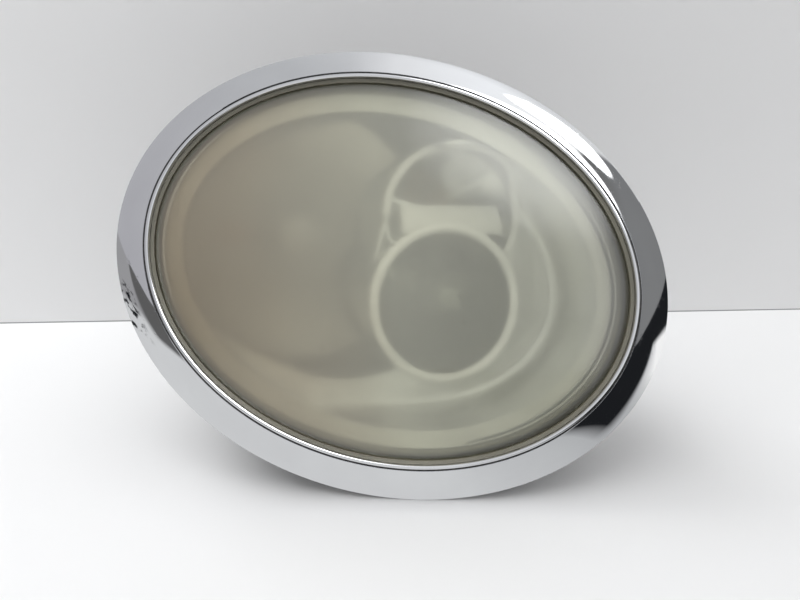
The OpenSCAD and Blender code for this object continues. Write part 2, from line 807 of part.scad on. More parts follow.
// Ball-ended screw that aims the optics sideways
module aim_screw() {
    color("silver") place() {
        beam(aim_at, ball_s) sphere(r = ball_r);
        rod(aim_at, ball_s + 2, rear_depth + 12, rod_r);
    }
}

// Knurled thumb wheel on the aim screw
module aim_knob() {
    color("dimgray") place() difference() {
        union() {
            rod(aim_at, rear_depth + 3 + fit, rear_depth + 10, knob_r - 1);
            for (t = [0:45:315]) beam(aim_at, rear_depth + 10) rotate([0, 0, t])
                translate([knob_r - 2, -1, 0]) cube([2, 2, 6]);
        }
        rod(aim_at, rear_depth, rear_depth + 20, rod_r + run);
    }
}

// Sprung wire clip: two arms across the bulb flange, hinged at one side
module wire_clip(at, back) {
    w = clip_wire/2;
    half = 11.5;
    arm = base_flange_d/2 + 8;
    s = back + base_flange_t + fit + clip_wire;
    for (i = [-1, 1]) beam(at + [-arm/2 - 4, half*i], s - w) rotate([0, 90, 0]) cylinder(h = arm + 3, r = w);
    beam(at + [-arm/2 - 4, -half - 3], s - w) rotate([-90, 0, 0]) cylinder(h = 2*half + 6, r = w);
    beam(at + [arm/2 - 1, -half], s - w) rotate([-90, 0, 0]) cylinder(h = 2*half, r = w);
}

module main_bulb_clip() {
    color("silver") place() wire_clip(main_at, main_seat);
}

module low_bulb_clip() {
    color("silver") place() wire_clip(low_at, low_seat);
}

// Push-on rubber cap over a port collar
module port_cap(at, port_r) {
    r = port_r + port_wall + fit;
    top = collar_end + seal_ring_t;
    rod(at, collar_end - cap_grip, top, r + 2.4, r);
    rod(at, top, top + cap_t, r + 2.4);
    beam_box(at, top + cap_t, top + cap_t + 5, 1.4*port_r, 4);
}

module cap_seal(at, port_r) {
    rod(at, collar_end, collar_end + seal_ring_t, port_r + port_wall, port_r + 0.4);
}

module main_cap() {
    color([0.1, 0.1, 0.1]) place() port_cap(main_at, main_port_r);
}

module main_cap_seal() {
    color("orangered") place() cap_seal(main_at, main_port_r);
}

module low_cap() {
    color([0.1, 0.1, 0.1]) place() port_cap(low_at, low_port_r);
}

module low_cap_seal() {
    color("orangered") place() cap_seal(low_at, low_port_r);
}

module indicator_cap() {
    color([0.1, 0.1, 0.1]) place() port_cap(ind_neck, ind_port_r);
}

// Point at share t of a smooth curve steered by points p
function curve(p, t) =
    len(p) == 1 ? p[0] : curve([for (i = [0:len(p)-2]) (1 - t)*p[i] + t*p[i+1]], t);

// Round wire along a path of points
module wire(path, r) {
    last = len(path) - 1;
    skin([for (i = [0:last])
        let (d = path[min(i + 1, last)] - path[max(i - 1, 0)], t = d/norm(d), c = cross(t, [1, 0, 0.2]))
        let (e1 = c/norm(c), e2 = cross(e1, t))
        [for (k = [0:9]) path[i] + r*(cos(36*k)*e1 + sin(36*k)*e2)]]);
}

// Three wires from the plug's pins to the levelling motor, clear of the ports
module inner_wires() {
    wire_r = 0.9;
    from = rear_depth - 9 - 2*fit;
    to_v = lift_at[1] - motor_neck - 0.3;
    color("firebrick") place() for (k = [-1:1]) {
        route = [
            beam_point(conn_at[0] + 6*k, conn_at[1] + 3.2, from),
            beam_point(conn_at[0] + 6*k, conn_at[1] + 3.2, from - 8),
            beam_point(-4 + 3*k, -40 - 3*k, from - 8),
            beam_point(-6 + 3*k, 0, from - 6),
            beam_point(lift_at[0] + 2*k, to_v - 14, from + 3),
            beam_point(lift_at[0] + 2*k, to_v, from + 4)
        ];
        wire([for (i = [0:14]) curve(route, i/14)], wire_r);
    }
}

trim_ring();
ring_clips();
cover_lens();
lens_seal();
body_seal();
housing();
fixing_sleeves();
breather_cap();
connector_shell();
connector_pins();
levelling_motor();
pivot_stud();
aim_bush();
pivot_socket();
carrier_plate();
bezel();
carrier_screws();
adjuster_sockets();
main_reflector();
main_bulb();
main_bulb_base();
main_bulb_shield();
side_bulb();
side_holder();
low_lens();
low_lens_holder();
cutoff_plate();
low_reflector();
low_bulb();
low_bulb_base();
indicator_reflector();
indicator_bulb();
indicator_holder();
motor_spindle();
aim_screw();
aim_knob();
main_bulb_clip();
low_bulb_clip();
main_cap();
main_cap_seal();
low_cap();
low_cap_seal();
indicator_cap();
inner_wires();
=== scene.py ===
# Dresses an oval car headlight: plated trim ring, hazed cover, the lights behind it and the black housing.
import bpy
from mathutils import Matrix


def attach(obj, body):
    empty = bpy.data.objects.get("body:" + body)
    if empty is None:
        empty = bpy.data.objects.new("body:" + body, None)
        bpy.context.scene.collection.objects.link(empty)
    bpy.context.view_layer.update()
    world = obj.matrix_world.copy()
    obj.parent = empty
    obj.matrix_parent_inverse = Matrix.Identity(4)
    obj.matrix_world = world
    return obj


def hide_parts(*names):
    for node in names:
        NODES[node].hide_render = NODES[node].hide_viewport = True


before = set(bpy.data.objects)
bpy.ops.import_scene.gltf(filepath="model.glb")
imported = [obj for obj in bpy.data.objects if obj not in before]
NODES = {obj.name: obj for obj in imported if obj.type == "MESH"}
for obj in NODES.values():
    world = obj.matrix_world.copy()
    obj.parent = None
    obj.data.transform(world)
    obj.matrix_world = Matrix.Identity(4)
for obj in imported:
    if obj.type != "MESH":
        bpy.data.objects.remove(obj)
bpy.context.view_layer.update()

from contextlib import contextmanager
from math import cos, hypot, pi, radians, sin, sqrt

import bmesh
import bpy
from mathutils import Matrix, Vector

# Sizes in millimetres, as in the part's source
ROLL, LEAN, BEAM_YAW = 14.4, 22.0, 20.0
STAND = (0.37, -63.25, 106.3336)
OPTIC_Y = 24.0
FLANGE_W, FLANGE_H, FLANGE_DROP, RING_OFFSET = 18.0, 16.0, 12.0, 1.5
OPEN_A, OPEN_B = 117.0, 90.0
RING_WALL, RING_DEPTH, LIP = 1.8, 12.0, 0.9
DOME_RISE, LENS_WALL, LENS_EDGE, CHANNEL_DEPTH = 15.0, 2.8, 3.4, 21.0
LENS_A, LENS_B = OPEN_A - 2.9, OPEN_B - 2.8
WALL, BUCKET_A, BUCKET_B, BUCKET_Y = 2.5, LENS_A - 1.5, LENS_B - 2.5, 45.0
MASK_A, MASK_B = BUCKET_A - WALL - 6, BUCKET_B - WALL - 6
REAR_DEPTH, REAR_A, REAR_B, REAR_U = 100.0, 80.0, 65.0, -3.0
MAIN_AT, LOW_AT, IND_AT, IND_NECK = (-42.0, 8.0), (27.9, -7.6), (24.0, 36.3), (24.0, 42.3)
SHROUD_R, SHROUD_T, LOW_S, TUBE_LEN = 39.6, 2.0, -12.9, 27.0
LOW_LENS_R, LENS_FRONT, LENS_RISE = 34.5, -5.9, 20.0
LENS_BACK = LENS_FRONT + LENS_RISE + 3
IND_R, IND_S, IND_TUBE, BROW, IND_BACK = 36.5, 2.8, 14.0, 17.0, 42.0
PLATE_S, SCREW_IN = 56.0, 11.0
MAIN_R, MAIN_FOCUS, MAIN_S, MAIN_HOLE, SEAT_R, BOWL_T = 62.0, 20.0, 23.0, 9.0, 19.0, 2.0
MAIN_BACK = MAIN_S + MAIN_R * MAIN_R / (4 * MAIN_FOCUS)
COLLAR_END, CAP_GRIP, SEAL_RING_T, CAP_T, PORT_WALL, FIT = 112.0, 9.0, 1.5, 3.0, 2.5, 0.3
MAIN_PORT_R, LOW_PORT_R, IND_PORT_R = 27.0, 26.5, 11.0
MOTOR_AT, MOTOR_W, MOTOR_H, MOTOR_DEEP, MOTOR_NECK = (-18.0, 56.0), 50.0, 28.0, 24.0, 9.0
LIFT_AT, LIFT_BORE, CONN_AT = (-8.0, 52.0), 3.75, (-40.0, -36.0)
# Side light's hole in the main bowl, and the depths at which the filaments start
SIDE_AT, SIDE_R, MAIN_COIL_S, LOW_COIL_S = (-71.0, -1.0), 6.5, 52.0, 54.0
# Mask: its sheet, the round opening about the bowls, and the screw posts (u, v, depth they start at)
SKIN_T, EYE_AT, EYE_R = 2.2, (-28.0, 14.5), 74.0
POSTS, POST_R, POST_BORE = ((68, 30, 6.5), (60, -42, 7), (-34, -61, 14)), 3.5, 1.8
# Depths between which a cutting rod reaches through all of the optics
CUT_FROM, CUT_TO = -60.0, 90.0

LAMP = (
    Matrix.Translation(Vector(STAND) * 0.001)
    @ Matrix.Rotation(radians(-LEAN), 4, "X")
    @ Matrix.Rotation(radians(ROLL), 4, "Y")
    @ Matrix.Scale(0.001, 4)
)
# (u, v, depth) of the optics to millimetres of the lamp
SWAP = Matrix(((1, 0, 0, 0), (0, 0, 1, 0), (0, 1, 0, 0), (0, 0, 0, 1)))
OPTIC = Matrix.Translation((0, OPTIC_Y, 0)) @ Matrix.Rotation(radians(BEAM_YAW), 4, "Z") @ SWAP
BEAM = LAMP @ OPTIC


# Shader helpers

def put(tree, socket, value):
    if isinstance(value, bpy.types.NodeSocket):
        tree.links.new(value, socket)
    elif socket.type == "RGBA" and len(value) == 3:
        socket.default_value = (*value, 1)
    else:
        socket.default_value = value


def fill(tree, node, inputs):
    """Sets or links a node's inputs by name or number."""
    for key, value in inputs.items():
        put(tree, node.inputs[key], value)


def add(tree, kind, inputs, **settings):
    """Adds a node, sets its properties, and fills its inputs."""
    node = tree.nodes.new(kind)
    for key, value in settings.items():
        setattr(node, key, value)
    fill(tree, node, inputs)
    return node


def ramp(tree, value, stops):
    """Colour ramp over value; stops are (position, grey or colour)."""
    node = add(tree, "ShaderNodeValToRGB", {"Fac": value})
    marks = node.color_ramp.elements
    while len(marks) < len(stops):
        marks.new(0.5)
    for mark, (at, shade) in zip(marks, stops):
        mark.position = at
        mark.color = (shade, shade, shade, 1) if isinstance(shade, (int, float)) else (*shade, 1)
    return node.outputs["Color"]


def mix(tree, share, a, b):
    """Colour a turning into colour b by share."""
    return add(tree, "ShaderNodeMix", {0: share, 6: a, 7: b}, data_type="RGBA").outputs[2]


def blended(tree, share, a, b):
    """Shader a turning into shader b by share."""
    return add(tree, "ShaderNodeMixShader", {0: share, 1: a, 2: b}).outputs[0]


def show(tree, shader):
    put(tree, tree.nodes["Material Output"].inputs["Surface"], shader)


def maths(tree, operation, a, b=None, clamp=False):
    inputs = {0: a} if b is None else {0: a, 1: b}
    return add(tree, "ShaderNodeMath", inputs, operation=operation, use_clamp=clamp).outputs[0]


def times(tree, a, b, clamp=False):
    return maths(tree, "MULTIPLY", a, b, clamp)


def plus(tree, a, b, clamp=False):
    return maths(tree, "ADD", a, b, clamp)


def noise(tree, where, scale, detail, **more):
    inputs = {"Vector": where, "Scale": scale, "Detail": detail, **more}
    return add(tree, "ShaderNodeTexNoise", inputs).outputs["Fac"]


def socket(tree, label, kind, way="INPUT"):
    return tree.interface.new_socket(label, in_out=way, socket_type="NodeSocket" + kind)


def shader_group(name, inputs, outputs, build):
    """Shader node group with a Vector input, float inputs {name: default} and float outputs."""
    tree = bpy.data.node_groups.new(name, "ShaderNodeTree")
    socket(tree, "Vector", "Vector")
    for label, default in inputs.items():
        socket(tree, label, "Float").default_value = default
    for label in outputs:
        socket(tree, label, "Float", "OUTPUT")
    source = tree.nodes.new("NodeGroupInput")
    target = tree.nodes.new("NodeGroupOutput")
    fill(tree, target, build(tree, source.outputs))
    return tree


def build_grain(tree, given):
    """Fine moulded or cast grain with a slow change of level."""
    fine = noise(tree, given["Vector"], given["Scale"], 3.0)
    slow = noise(tree, given["Vector"], 38.0, 4.0)
    cells = add(tree, "ShaderNodeTexVoronoi", {"Vector": given["Vector"], "Scale": given["Scale"]})
    height = plus(tree, fine, times(tree, cells.outputs["Distance"], 0.5))
    return {"Height": height, "Level": ramp(tree, slow, [(0.32, 0.0), (0.68, 1.0)])}


def build_wear(tree, given):
    """Dust in patches, long fine scratches, and small specks."""
    where = given["Vector"]
    slow = ramp(tree, noise(tree, where, 26.0, 8.0, Roughness=0.7), [(0.40, 0.15), (0.72, 1.0)])
    fine = ramp(tree, noise(tree, where, 1100.0, 2.0), [(0.42, 0.1), (0.66, 1.0)])
    lines = []
    for turn, stretch in (((0.3, 0.2, 0.5), (7.0, 260.0, 190.0)), ((1.1, -0.4, 2.0), (240.0, 9.0, 210.0))):
        placed = add(tree, "ShaderNodeMapping", {"Vector": where, "Rotation": turn, "Scale": stretch})
        streak = noise(tree, placed.outputs[0], 1.0, 3.0)
        lines.append(ramp(tree, streak, [(0.66, 0.0), (0.7, 1.0), (0.74, 0.0)]))
    spots = add(tree, "ShaderNodeTexVoronoi", {"Vector": where, "Scale": given["Speck Scale"]}).outputs
    few = ramp(tree, spots["Color"], [(0.0, 1.0), (0.14, 0.0)])
    near = ramp(tree, spots["Distance"], [(0.05, 1.0), (0.16, 0.0)])
    return {
        "Dust": times(tree, times(tree, slow, fine), given["Dust"], clamp=True),
        "Scratches": times(tree, maths(tree, "MAXIMUM", *lines), given["Scratches"], clamp=True),
        "Specks": times(tree, few, near),
    }


def build_oval(tree, given):
    """Where a point lies in the lamp: its shares of the cover's half width and height, and their radius."""
    moved = add(tree, "ShaderNodeVectorMath", {0: given["Vector"], 1: tuple(0.001 * c for c in STAND)},
                operation="SUBTRACT").outputs[0]
    for axis, angle in (("X_AXIS", LEAN), ("Y_AXIS", -ROLL)):
        moved = add(tree, "ShaderNodeVectorRotate", {"Vector": moved, "Angle": radians(angle)},
                    rotation_type=axis).outputs[0]
    x, _, z = add(tree, "ShaderNodeSeparateXYZ", {0: moved}).outputs
    across = maths(tree, "DIVIDE", x, 0.001 * LENS_A)
    upright = maths(tree, "DIVIDE", z, 0.001 * LENS_B)
    square = plus(tree, maths(tree, "POWER", across, 2.0), maths(tree, "POWER", upright, 2.0))
    return {"Across": across, "Upright": upright, "Share": maths(tree, "SQRT", square)}


GRAIN = shader_group("fine_grain", {"Scale": 1800.0}, ("Height", "Level"), build_grain)
WEAR = shader_group("dust_and_scratches", {"Dust": 0.3, "Scratches": 0.3, "Speck Scale": 160.0},
                    ("Dust", "Scratches", "Specks"), build_wear)
OVAL = shader_group("place_in_oval", {}, ("Across", "Upright", "Share"), build_oval)


def start(name):
    """New material with a Principled shader and Object coordinates."""
    material = bpy.data.materials.new(name)
    material.use_nodes = True
    tree = material.node_tree
    where = tree.nodes.new("ShaderNodeTexCoord").outputs["Object"]
    return material, tree, tree.nodes["Principled BSDF"], where


def use(tree, shared, where, **values):
    """Places a shared group and sets its inputs; names take _ for a space."""
    inputs = {key.replace("_", " "): value for key, value in values.items()}
    return add(tree, "ShaderNodeGroup", {"Vector": where, **inputs}, node_tree=shared).outputs


def bump(tree, height, strength, distance, normal=None):
    inputs = {"Height": height, "Strength": strength, "Distance": distance}
    if normal is not None:
        inputs["Normal"] = normal
    return add(tree, "ShaderNodeBump", inputs).outputs["Normal"]


# Colour of the dust that lies on every opaque finish
DUST = (0.30, 0.285, 0.26)


def solid(name, colour, rough, grain, depth=0.00003, dust=0.3, scratches=0.3, vary=0.12, metal=0.0):
    """Opaque finish: colour that varies slowly, moulded grain, dust, scratches and specks."""
    material, tree, shader, where = start(name)
    grained = use(tree, GRAIN, where, Scale=grain)
    worn = use(tree, WEAR, where, Dust=dust, Scratches=scratches, Speck_Scale=160.0)
    base = mix(tree, grained["Level"], tuple(c * (1 - vary) for c in colour),
               tuple(min(1, c * (1 + vary)) for c in colour))
    base = mix(tree, worn["Dust"], base, DUST)
    base = mix(tree, worn["Specks"], base, tuple(0.4 * c for c in colour))
    level = plus(tree, times(tree, grained["Height"], 0.10), rough - 0.08)
    level = plus(tree, level, times(tree, worn["Dust"], 0.35))
    level = plus(tree, level, times(tree, worn["Scratches"], 0.2), clamp=True)
    height = maths(tree, "SUBTRACT", grained["Height"], worn["Scratches"])
    fill(tree, shader, {"Base Color": base, "Roughness": level, "Metallic": metal,
                        "Normal": bump(tree, height, 0.6, depth)})
    return material


def metal(*values):
    return solid(*values, metal=1.0)


def light_through(tree, shader, colour, shade):
    """Lets shadow rays pass, tinted, so that what lies behind the glass is lit."""
    veil = add(tree, "ShaderNodeBsdfTransparent", {"Color": tuple(c * (1 - shade) for c in colour)})
    shadow = tree.nodes.new("ShaderNodeLightPath").outputs["Is Shadow Ray"]
    show(tree, blended(tree, shadow, shader, veil.outputs[0]))


def glass(name, colour, rough, ior=1.5, through=1.0, shade=0.05):
    """Clear or coloured glass with fine scratches."""
    material, tree, shader, where = start(name)
    grained = use(tree, GRAIN, where, Scale=700.0)
    worn = use(tree, WEAR, where, Dust=0.4, Scratches=0.4, Speck_Scale=220.0)
    base = mix(tree, grained["Level"], tuple(0.95 * c for c in colour), colour)
    base = mix(tree, worn["Dust"], base, tuple(0.8 * c for c in colour))
    level = plus(tree, times(tree, worn["Scratches"], 0.1), rough, clamp=True)
    fill(tree, shader, {"Base Color": base, "Roughness": level, "Transmission Weight": through, "IOR": ior,
                        "Normal": bump(tree, worn["Scratches"], 0.2, 0.00002)})
    light_through(tree, shader.outputs[0], colour, shade)
    return material


def hazed_cover():
    """Aged clear plastic: a milky rough part, brown at the left, and a clear share growing to the right; its
    colour pales to the top right as painted highlight and darkens at the rim as painted shade.
    """
    material, tree, shader, where = start("hazed_polycarbonate")
    grained = use(tree, GRAIN, where, Scale=700.0)
    worn = use(tree, WEAR, where, Dust=0.3, Scratches=0.25, Speck_Scale=60.0)
    oval = use(tree, OVAL, where)
    slow = noise(tree, where, 14.0, 4.0)
    side = plus(tree, oval["Across"], times(tree, oval["Upright"], 0.35))
    side = plus(tree, side, times(tree, slow, 0.5))
    side = plus(tree, times(tree, side, 0.4), 0.4)
    # Colour from brown at the left to near white at the right and top right; the pale end is partly painted
    # highlight, the window's hazy glare on the cover.
    base = ramp(tree, side, [
        (0.0, (0.44, 0.36, 0.25)), (0.28, (0.72, 0.66, 0.53)), (0.5, (0.94, 0.94, 0.81)),
        (0.80, (0.94, 0.95, 0.84)), (0.95, (0.98, 0.98, 0.97))])
    top = times(tree, ramp(tree, oval["Upright"], [(0.3, 0.0), (0.9, 1.0)]),
                ramp(tree, plus(tree, oval["Across"], 0.5), [(0.4, 0.12), (0.9, 0.0)]))
    # Painted shade: a thin darker band at the cover's rim, where the dome curves down under the trim ring.
    edge = ramp(tree, oval["Share"], [(0.972, 0.0), (0.982, 1.0)])
    for share, shade in ((top, (0.30, 0.28, 0.22)), (edge, (0.50, 0.48, 0.37)),
                         (times(tree, worn["Specks"], 0.3), (0.25, 0.22, 0.16))):
        base = mix(tree, share, base, shade)
    # Below 0.28 of roughness, or with a larger clear share than 0.55, a hard line shows in denoised renders
    level = maths(tree, "MAXIMUM", maths(tree, "SUBTRACT", 0.42, times(tree, side, 0.20)), 0.285)
    fill(tree, shader, {
        "Base Color": base, "Roughness": level, "Transmission Weight": 0.78, "IOR": 1.45, "Coat Weight": 1.0,
        "Coat Roughness": 0.42, "Normal": bump(tree, grained["Height"], 0.1, 0.00001)})
    pale = mix(tree, 0.75, base, (1.0, 1.0, 0.98))
    clear = add(tree, "ShaderNodeBsdfGlass", {"Color": pale, "Roughness": 0.055, "IOR": 1.45})
    share = maths(tree, "MINIMUM", maths(tree, "SUBTRACT", side, 0.12, clamp=True), 0.55)
    both = blended(tree, share, shader.outputs[0], clear.outputs[0])
    light_through(tree, both, (0.95, 0.94, 0.88), 0.08)
    return material


def chrome():
    """Plated ring: mirror with a slow haze, fine scratches, and dark pits along its lower side."""
    material, tree, shader, where = start("chrome_plating")
    worn = use(tree, WEAR, where, Dust=0.5, Scratches=0.6, Speck_Scale=130.0)
    oval = use(tree, OVAL, where)
    low = ramp(tree, plus(tree, times(tree, oval["Upright"], -0.5), 0.5), [(0.35, 0.12), (0.8, 1.0)])
    pits = times(tree, worn["Specks"], low)
    slow = ramp(tree, noise(tree, where, 30.0, 6.0), [(0.3, 0.0), (0.7, 1.0)])
    base = mix(tree, slow, (0.83, 0.83, 0.84), (0.89, 0.895, 0.90))
    level = plus(tree, times(tree, worn["Dust"], 0.10), 0.05)
    level = plus(tree, level, times(tree, worn["Scratches"], 0.12))
    level = plus(tree, level, times(tree, pits, 0.6), clamp=True)
    wave = bump(tree, noise(tree, where, 48.0, 2.0), 0.10, 0.0004)
    cut = times(tree, plus(tree, worn["Scratches"], pits), -1.0)
    fill(tree, shader, {"Base Color": mix(tree, pits, base, (0.07, 0.06, 0.05)), "Roughness": level,
                        "Metallic": 1.0, "Normal": bump(tree, cut, 0.3, 0.00004, wave)})
    return material


# Each finish and the record's slot that most of its pieces have
FINISH = {
    "chrome": (chrome(), "chrome_ring"),
    "cover": (hazed_cover(), "hazed_cover"),
    "lens": (glass("projector_glass", (0.84, 0.84, 0.78), 0.02, 1.52), "projector_glass"),
    "quartz": (glass("quartz_glass", (0.97, 0.98, 0.99), 0.01, 1.46), "bulb_glass"),
    "amber": (glass("amber_glass", (0.95, 0.42, 0.06), 0.05, 1.5, 0.9, 0.1), "amber_glass"),
    "housing": (solid("black_moulding", (0.020, 0.020, 0.022), 0.50, 2600.0, dust=0.28), "black_plastic"),
    "case": (solid("black_case_plastic", (0.026, 0.026, 0.028), 0.36, 1500.0, dust=0.22), "black_plastic"),
    "rubber": (solid("black_rubber", (0.016, 0.016, 0.016), 0.60, 1200.0, dust=0.4, vary=0.2), "seal_rubber"),
    "sealant": (solid("olive_sealant", (0.20, 0.19, 0.15), 0.5, 1500.0, dust=0.2), "seal_rubber"),
    "foam": (solid("black_foam", (0.03, 0.03, 0.03), 0.9, 900.0, 0.0004, 0.35, vary=0.3), "seal_rubber"),
    "silicone": (solid("orange_silicone", (0.55, 0.13, 0.035), 0.45, 1200.0), "cap_ring_rubber"),
    "nylon": (solid("natural_nylon", (0.70, 0.68, 0.58), 0.42, 1500.0), "nylon"),
    "grey": (solid("grey_plastic", (0.13, 0.13, 0.135), 0.45, 1700.0, dust=0.25), "grey_plastic"),
    "wire": (solid("wire_insulation", (0.33, 0.03, 0.025), 0.42, 1100.0, dust=0.25), "wire_insulation"),
    # Rim: a diffuse white copy of the plated mask's finish; its colour paints the bright sheen that plating
    # shows.
    "rim": (solid("satin_rim_painted_sheen", (0.94, 0.94, 0.93), 0.28, 900.0, 0.00001, 0.05, 0.2, 0.05), "bright_mask"),
    # Lining: a duller diffuse copy of the plated mask's finish; its pale grey is painted light, on what in
    # the lamp is plating, black wall and grey plastic.
    "lining": (solid("satin_lining_painted_light", (0.62, 0.62, 0.58), 0.40, 900.0, 0.00001, 0.1, 0.2), "bright_mask"),
    "mask": (metal("metallised_mask", (0.84, 0.84, 0.82), 0.30, 900.0, 0.00001, 0.3, 0.2), "bright_mask"),
    "mirror": (metal("reflector_mirror", (0.88, 0.88, 0.87), 0.12, 700.0, 0.000006, 0.3, 0.15),
               "reflector_mirror"),
    "zinc": (metal("zinc_plated_steel", (0.62, 0.61, 0.57), 0.33, 1400.0, 0.00002, 0.3, 0.5), "plated_steel"),
    "spring": (metal("spring_steel", (0.40, 0.39, 0.37), 0.36, 1600.0, 0.00002, 0.25, 0.4), "spring_steel"),
    "dark_steel": (metal("blackened_steel", (0.05, 0.05, 0.05), 0.45, 1400.0, 0.00002, 0.3, 0.3),
                   "dark_plate"),
    "brass": (metal("tinned_brass", (0.72, 0.53, 0.24), 0.28, 1200.0, 0.00001, 0.2, 0.4), "brass_pins"),
}


# Mesh helpers; shapes are drawn in millimetres and placed at the end

MILLIMETRES = Matrix.Scale(0.001, 4)
SHARP = radians(40)
# Gaps that are closed: in drawn shapes (mm), in placed ones (m) and in copies of the CAD (mm)
DRAWN_GAP, PLACED_GAP, COPIED_GAP = 1e-4, 1e-7, 2e-3


def around(count):
    """Angles of count points round a circle."""
    return [2 * pi * k / count for k in range(count)]


def ellipse(half_width, half_height, count):
    return [(half_width * cos(a), half_height * sin(a)) for a in around(count)]


def beside(at, u, v=0.0):
    """The point that lies u to the right of at and v above it."""
    return at[0] + u, at[1] + v


def shape(points, faces):
    """Closed mesh with its doubles merged and its faces turned outwards."""
    mesh = bpy.data.meshes.new("shape")
    mesh.from_pydata(points, [], faces)
    return repaired(mesh, DRAWN_GAP)


@contextmanager
def edited(*meshes, out=None):
    """Opens meshes as one for editing, and writes it back to the first or to out."""
    shell = bmesh.new()
    for mesh in meshes:
        shell.from_mesh(mesh)
    yield shell
    shell.to_mesh(out or meshes[0])
    shell.free()


def repaired(mesh, gap):
    with edited(mesh) as shell:
        bmesh.ops.remove_doubles(shell, verts=shell.verts, dist=gap)
        bmesh.ops.dissolve_degenerate(shell, edges=shell.edges, dist=gap)
        bmesh.ops.recalc_face_normals(shell, faces=shell.faces)
    return mesh


def skin(count, rings, closed=True, hoop=False):
    """Faces over rings of count points each; a hoop joins the last ring to the first."""
    starts = [k * count for k in range(rings)] + ([0] if hoop else [])
    return [(a + i, a + (i + 1) % count, b + (i + 1) % count, b + i)
            for a, b in zip(starts, starts[1:]) for i in range(count if closed else count - 1)]


def band(rings, hoop=False, ends=False):
    """Skin over rings of points; ends close the first ring and the last."""
    count = len(rings[0])
    points = [p for ring in rings for p in ring]
    faces = skin(count, len(rings), hoop=hoop)
    if ends:
        faces += [tuple(range(count)), tuple(range(len(points) - count, len(points)))]
    return shape(points, faces)


def turned(at, profile, count):
    """Closed profile of (radius, depth) turned about the optic axis through (u, v)."""
    rings = [[(at[0] + r * cos(a), at[1] + r * sin(a), s) for r, s in profile] for a in around(count)]
    return band(rings, hoop=True)


def tube(at, outer, inner, s0, s1, count=96):
    return turned(at, [(inner, s0), (outer, s0), (outer, s1), (inner, s1)], count)


def rod(at, radius, s0, s1, count=64):
    return turned(at, [(0, s0), (radius, s0), (radius, s1), (0, s1)], count)


def block(at, s0, s1, width, height, soft=0.0, segments=3):
    """Box from depth s0 to s1 about (u, v), its edges rounded by soft."""
    u, v = at
    points = [(u + x * width / 2, v + y * height / 2, s) for s in (s0, s1) for y in (-1, 1) for x in (-1, 1)]
    faces = [(0, 1, 3, 2), (4, 6, 7, 5), (0, 4, 5, 1), (2, 3, 7, 6), (0, 2, 6, 4), (1, 5, 7, 3)]
    mesh = shape(points, faces)
    return bevelled(mesh, soft, segments) if soft else mesh


def bevelled(mesh, width, segments=2):
    with edited(mesh) as shell:
        sharp = [e for e in shell.edges if len(e.link_faces) == 2 and e.calc_face_angle(0) > SHARP]
        bmesh.ops.bevel(shell, geom=sharp, offset=width, segments=segments, profile=0.5, affect="EDGES",
                        clamp_overlap=True)
    return mesh


def moved(mesh, matrix):
    """Moves a mesh; one that is mirrored keeps its faces outwards."""
    mesh.transform(matrix)
    if matrix.determinant() < 0:
        mesh.flip_normals()
    return mesh


def joined(*meshes):
    out = bpy.data.meshes.new("joined")
    with edited(*meshes, out=out):
        pass
    return out


def applied(obj):
    """Plain mesh of an object with its modifiers applied; the object is then gone."""
    mesh = bpy.data.meshes.new_from_object(obj.evaluated_get(bpy.context.evaluated_depsgraph_get()))
    bpy.data.objects.remove(obj)
    return mesh


def new_object(name, data):
    obj = bpy.data.objects.new(name, data)
    bpy.context.scene.collection.objects.link(obj)
    return obj


def combined(base, operation, *tools):
    """Boolean of a mesh with others, one after the other."""
    for tool in tools:
        obj, other = new_object("base", base), new_object("tool", tool)
        modifier = obj.modifiers.new("cut", "BOOLEAN")
        modifier.operation, modifier.solver, modifier.object = operation, "EXACT", other
        base = applied(obj)
        bpy.data.objects.remove(other)
    return base


def piece(name, mesh, place, finish, body, replaces=(), angle=32.0, slot=None):
    """Puts a finished millimetre mesh into the scene as one piece of a body."""
    material, usual_slot = FINISH[finish]
    slot = slot or usual_slot
    mesh = repaired(moved(mesh, place), PLACED_GAP)
    mesh.name = name
    mesh.materials.clear()
    mesh.materials.append(material)
    for face in mesh.polygons:
        face.use_smooth = True
        face.material_index = 0
    mesh.set_sharp_from_angle(angle=radians(angle))
    obj = new_object(name, mesh)
    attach(obj, body)
    if replaces:
        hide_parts(*replaces)


def dressed(node, finish, body, bevel, slot=None):
    """Copy of a CAD node with joined faces, rounded edges and smooth shading."""
    mesh = NODES[node].data.copy()
    mesh.transform(MILLIMETRES.inverted())
    with edited(mesh) as shell:
        bmesh.ops.remove_doubles(shell, verts=shell.verts, dist=COPIED_GAP)
        bmesh.ops.dissolve_limit(shell, angle_limit=radians(0.6), verts=shell.verts, edges=shell.edges)
    if bevel:
        obj = new_object("work", mesh)
        edge = obj.modifiers.new("edge", "BEVEL")
        edge.width, edge.segments, edge.limit_method, edge.angle_limit = bevel, 2, "ANGLE", SHARP
        mesh = applied(obj)
    piece(node + "_dressed", mesh, MILLIMETRES, finish, body, (node,), 34.0, slot)


# Geometry Nodes trees

def geometry_tree(name, inputs):
    """Empty tree with a geometry input and output, the given inputs {name: socket type}, and a finish."""
    tree = bpy.data.node_groups.new(name, "GeometryNodeTree")
    for label, kind in {"Geometry": "Geometry", **inputs, "Finish": "Material"}.items():
        socket(tree, label, kind)
    socket(tree, "Geometry", "Geometry", "OUTPUT")
    return tree, tree.nodes.new("NodeGroupInput").outputs


def end_tree(tree, given, geometry):
    real = add(tree, "GeometryNodeRealizeInstances", {"Geometry": geometry}).outputs[0]
    painted = add(tree, "GeometryNodeSetMaterial", {"Geometry": real, "Material": given["Finish"]})
    put(tree, tree.nodes.new("NodeGroupOutput").inputs[0], painted.outputs[0])
    return tree


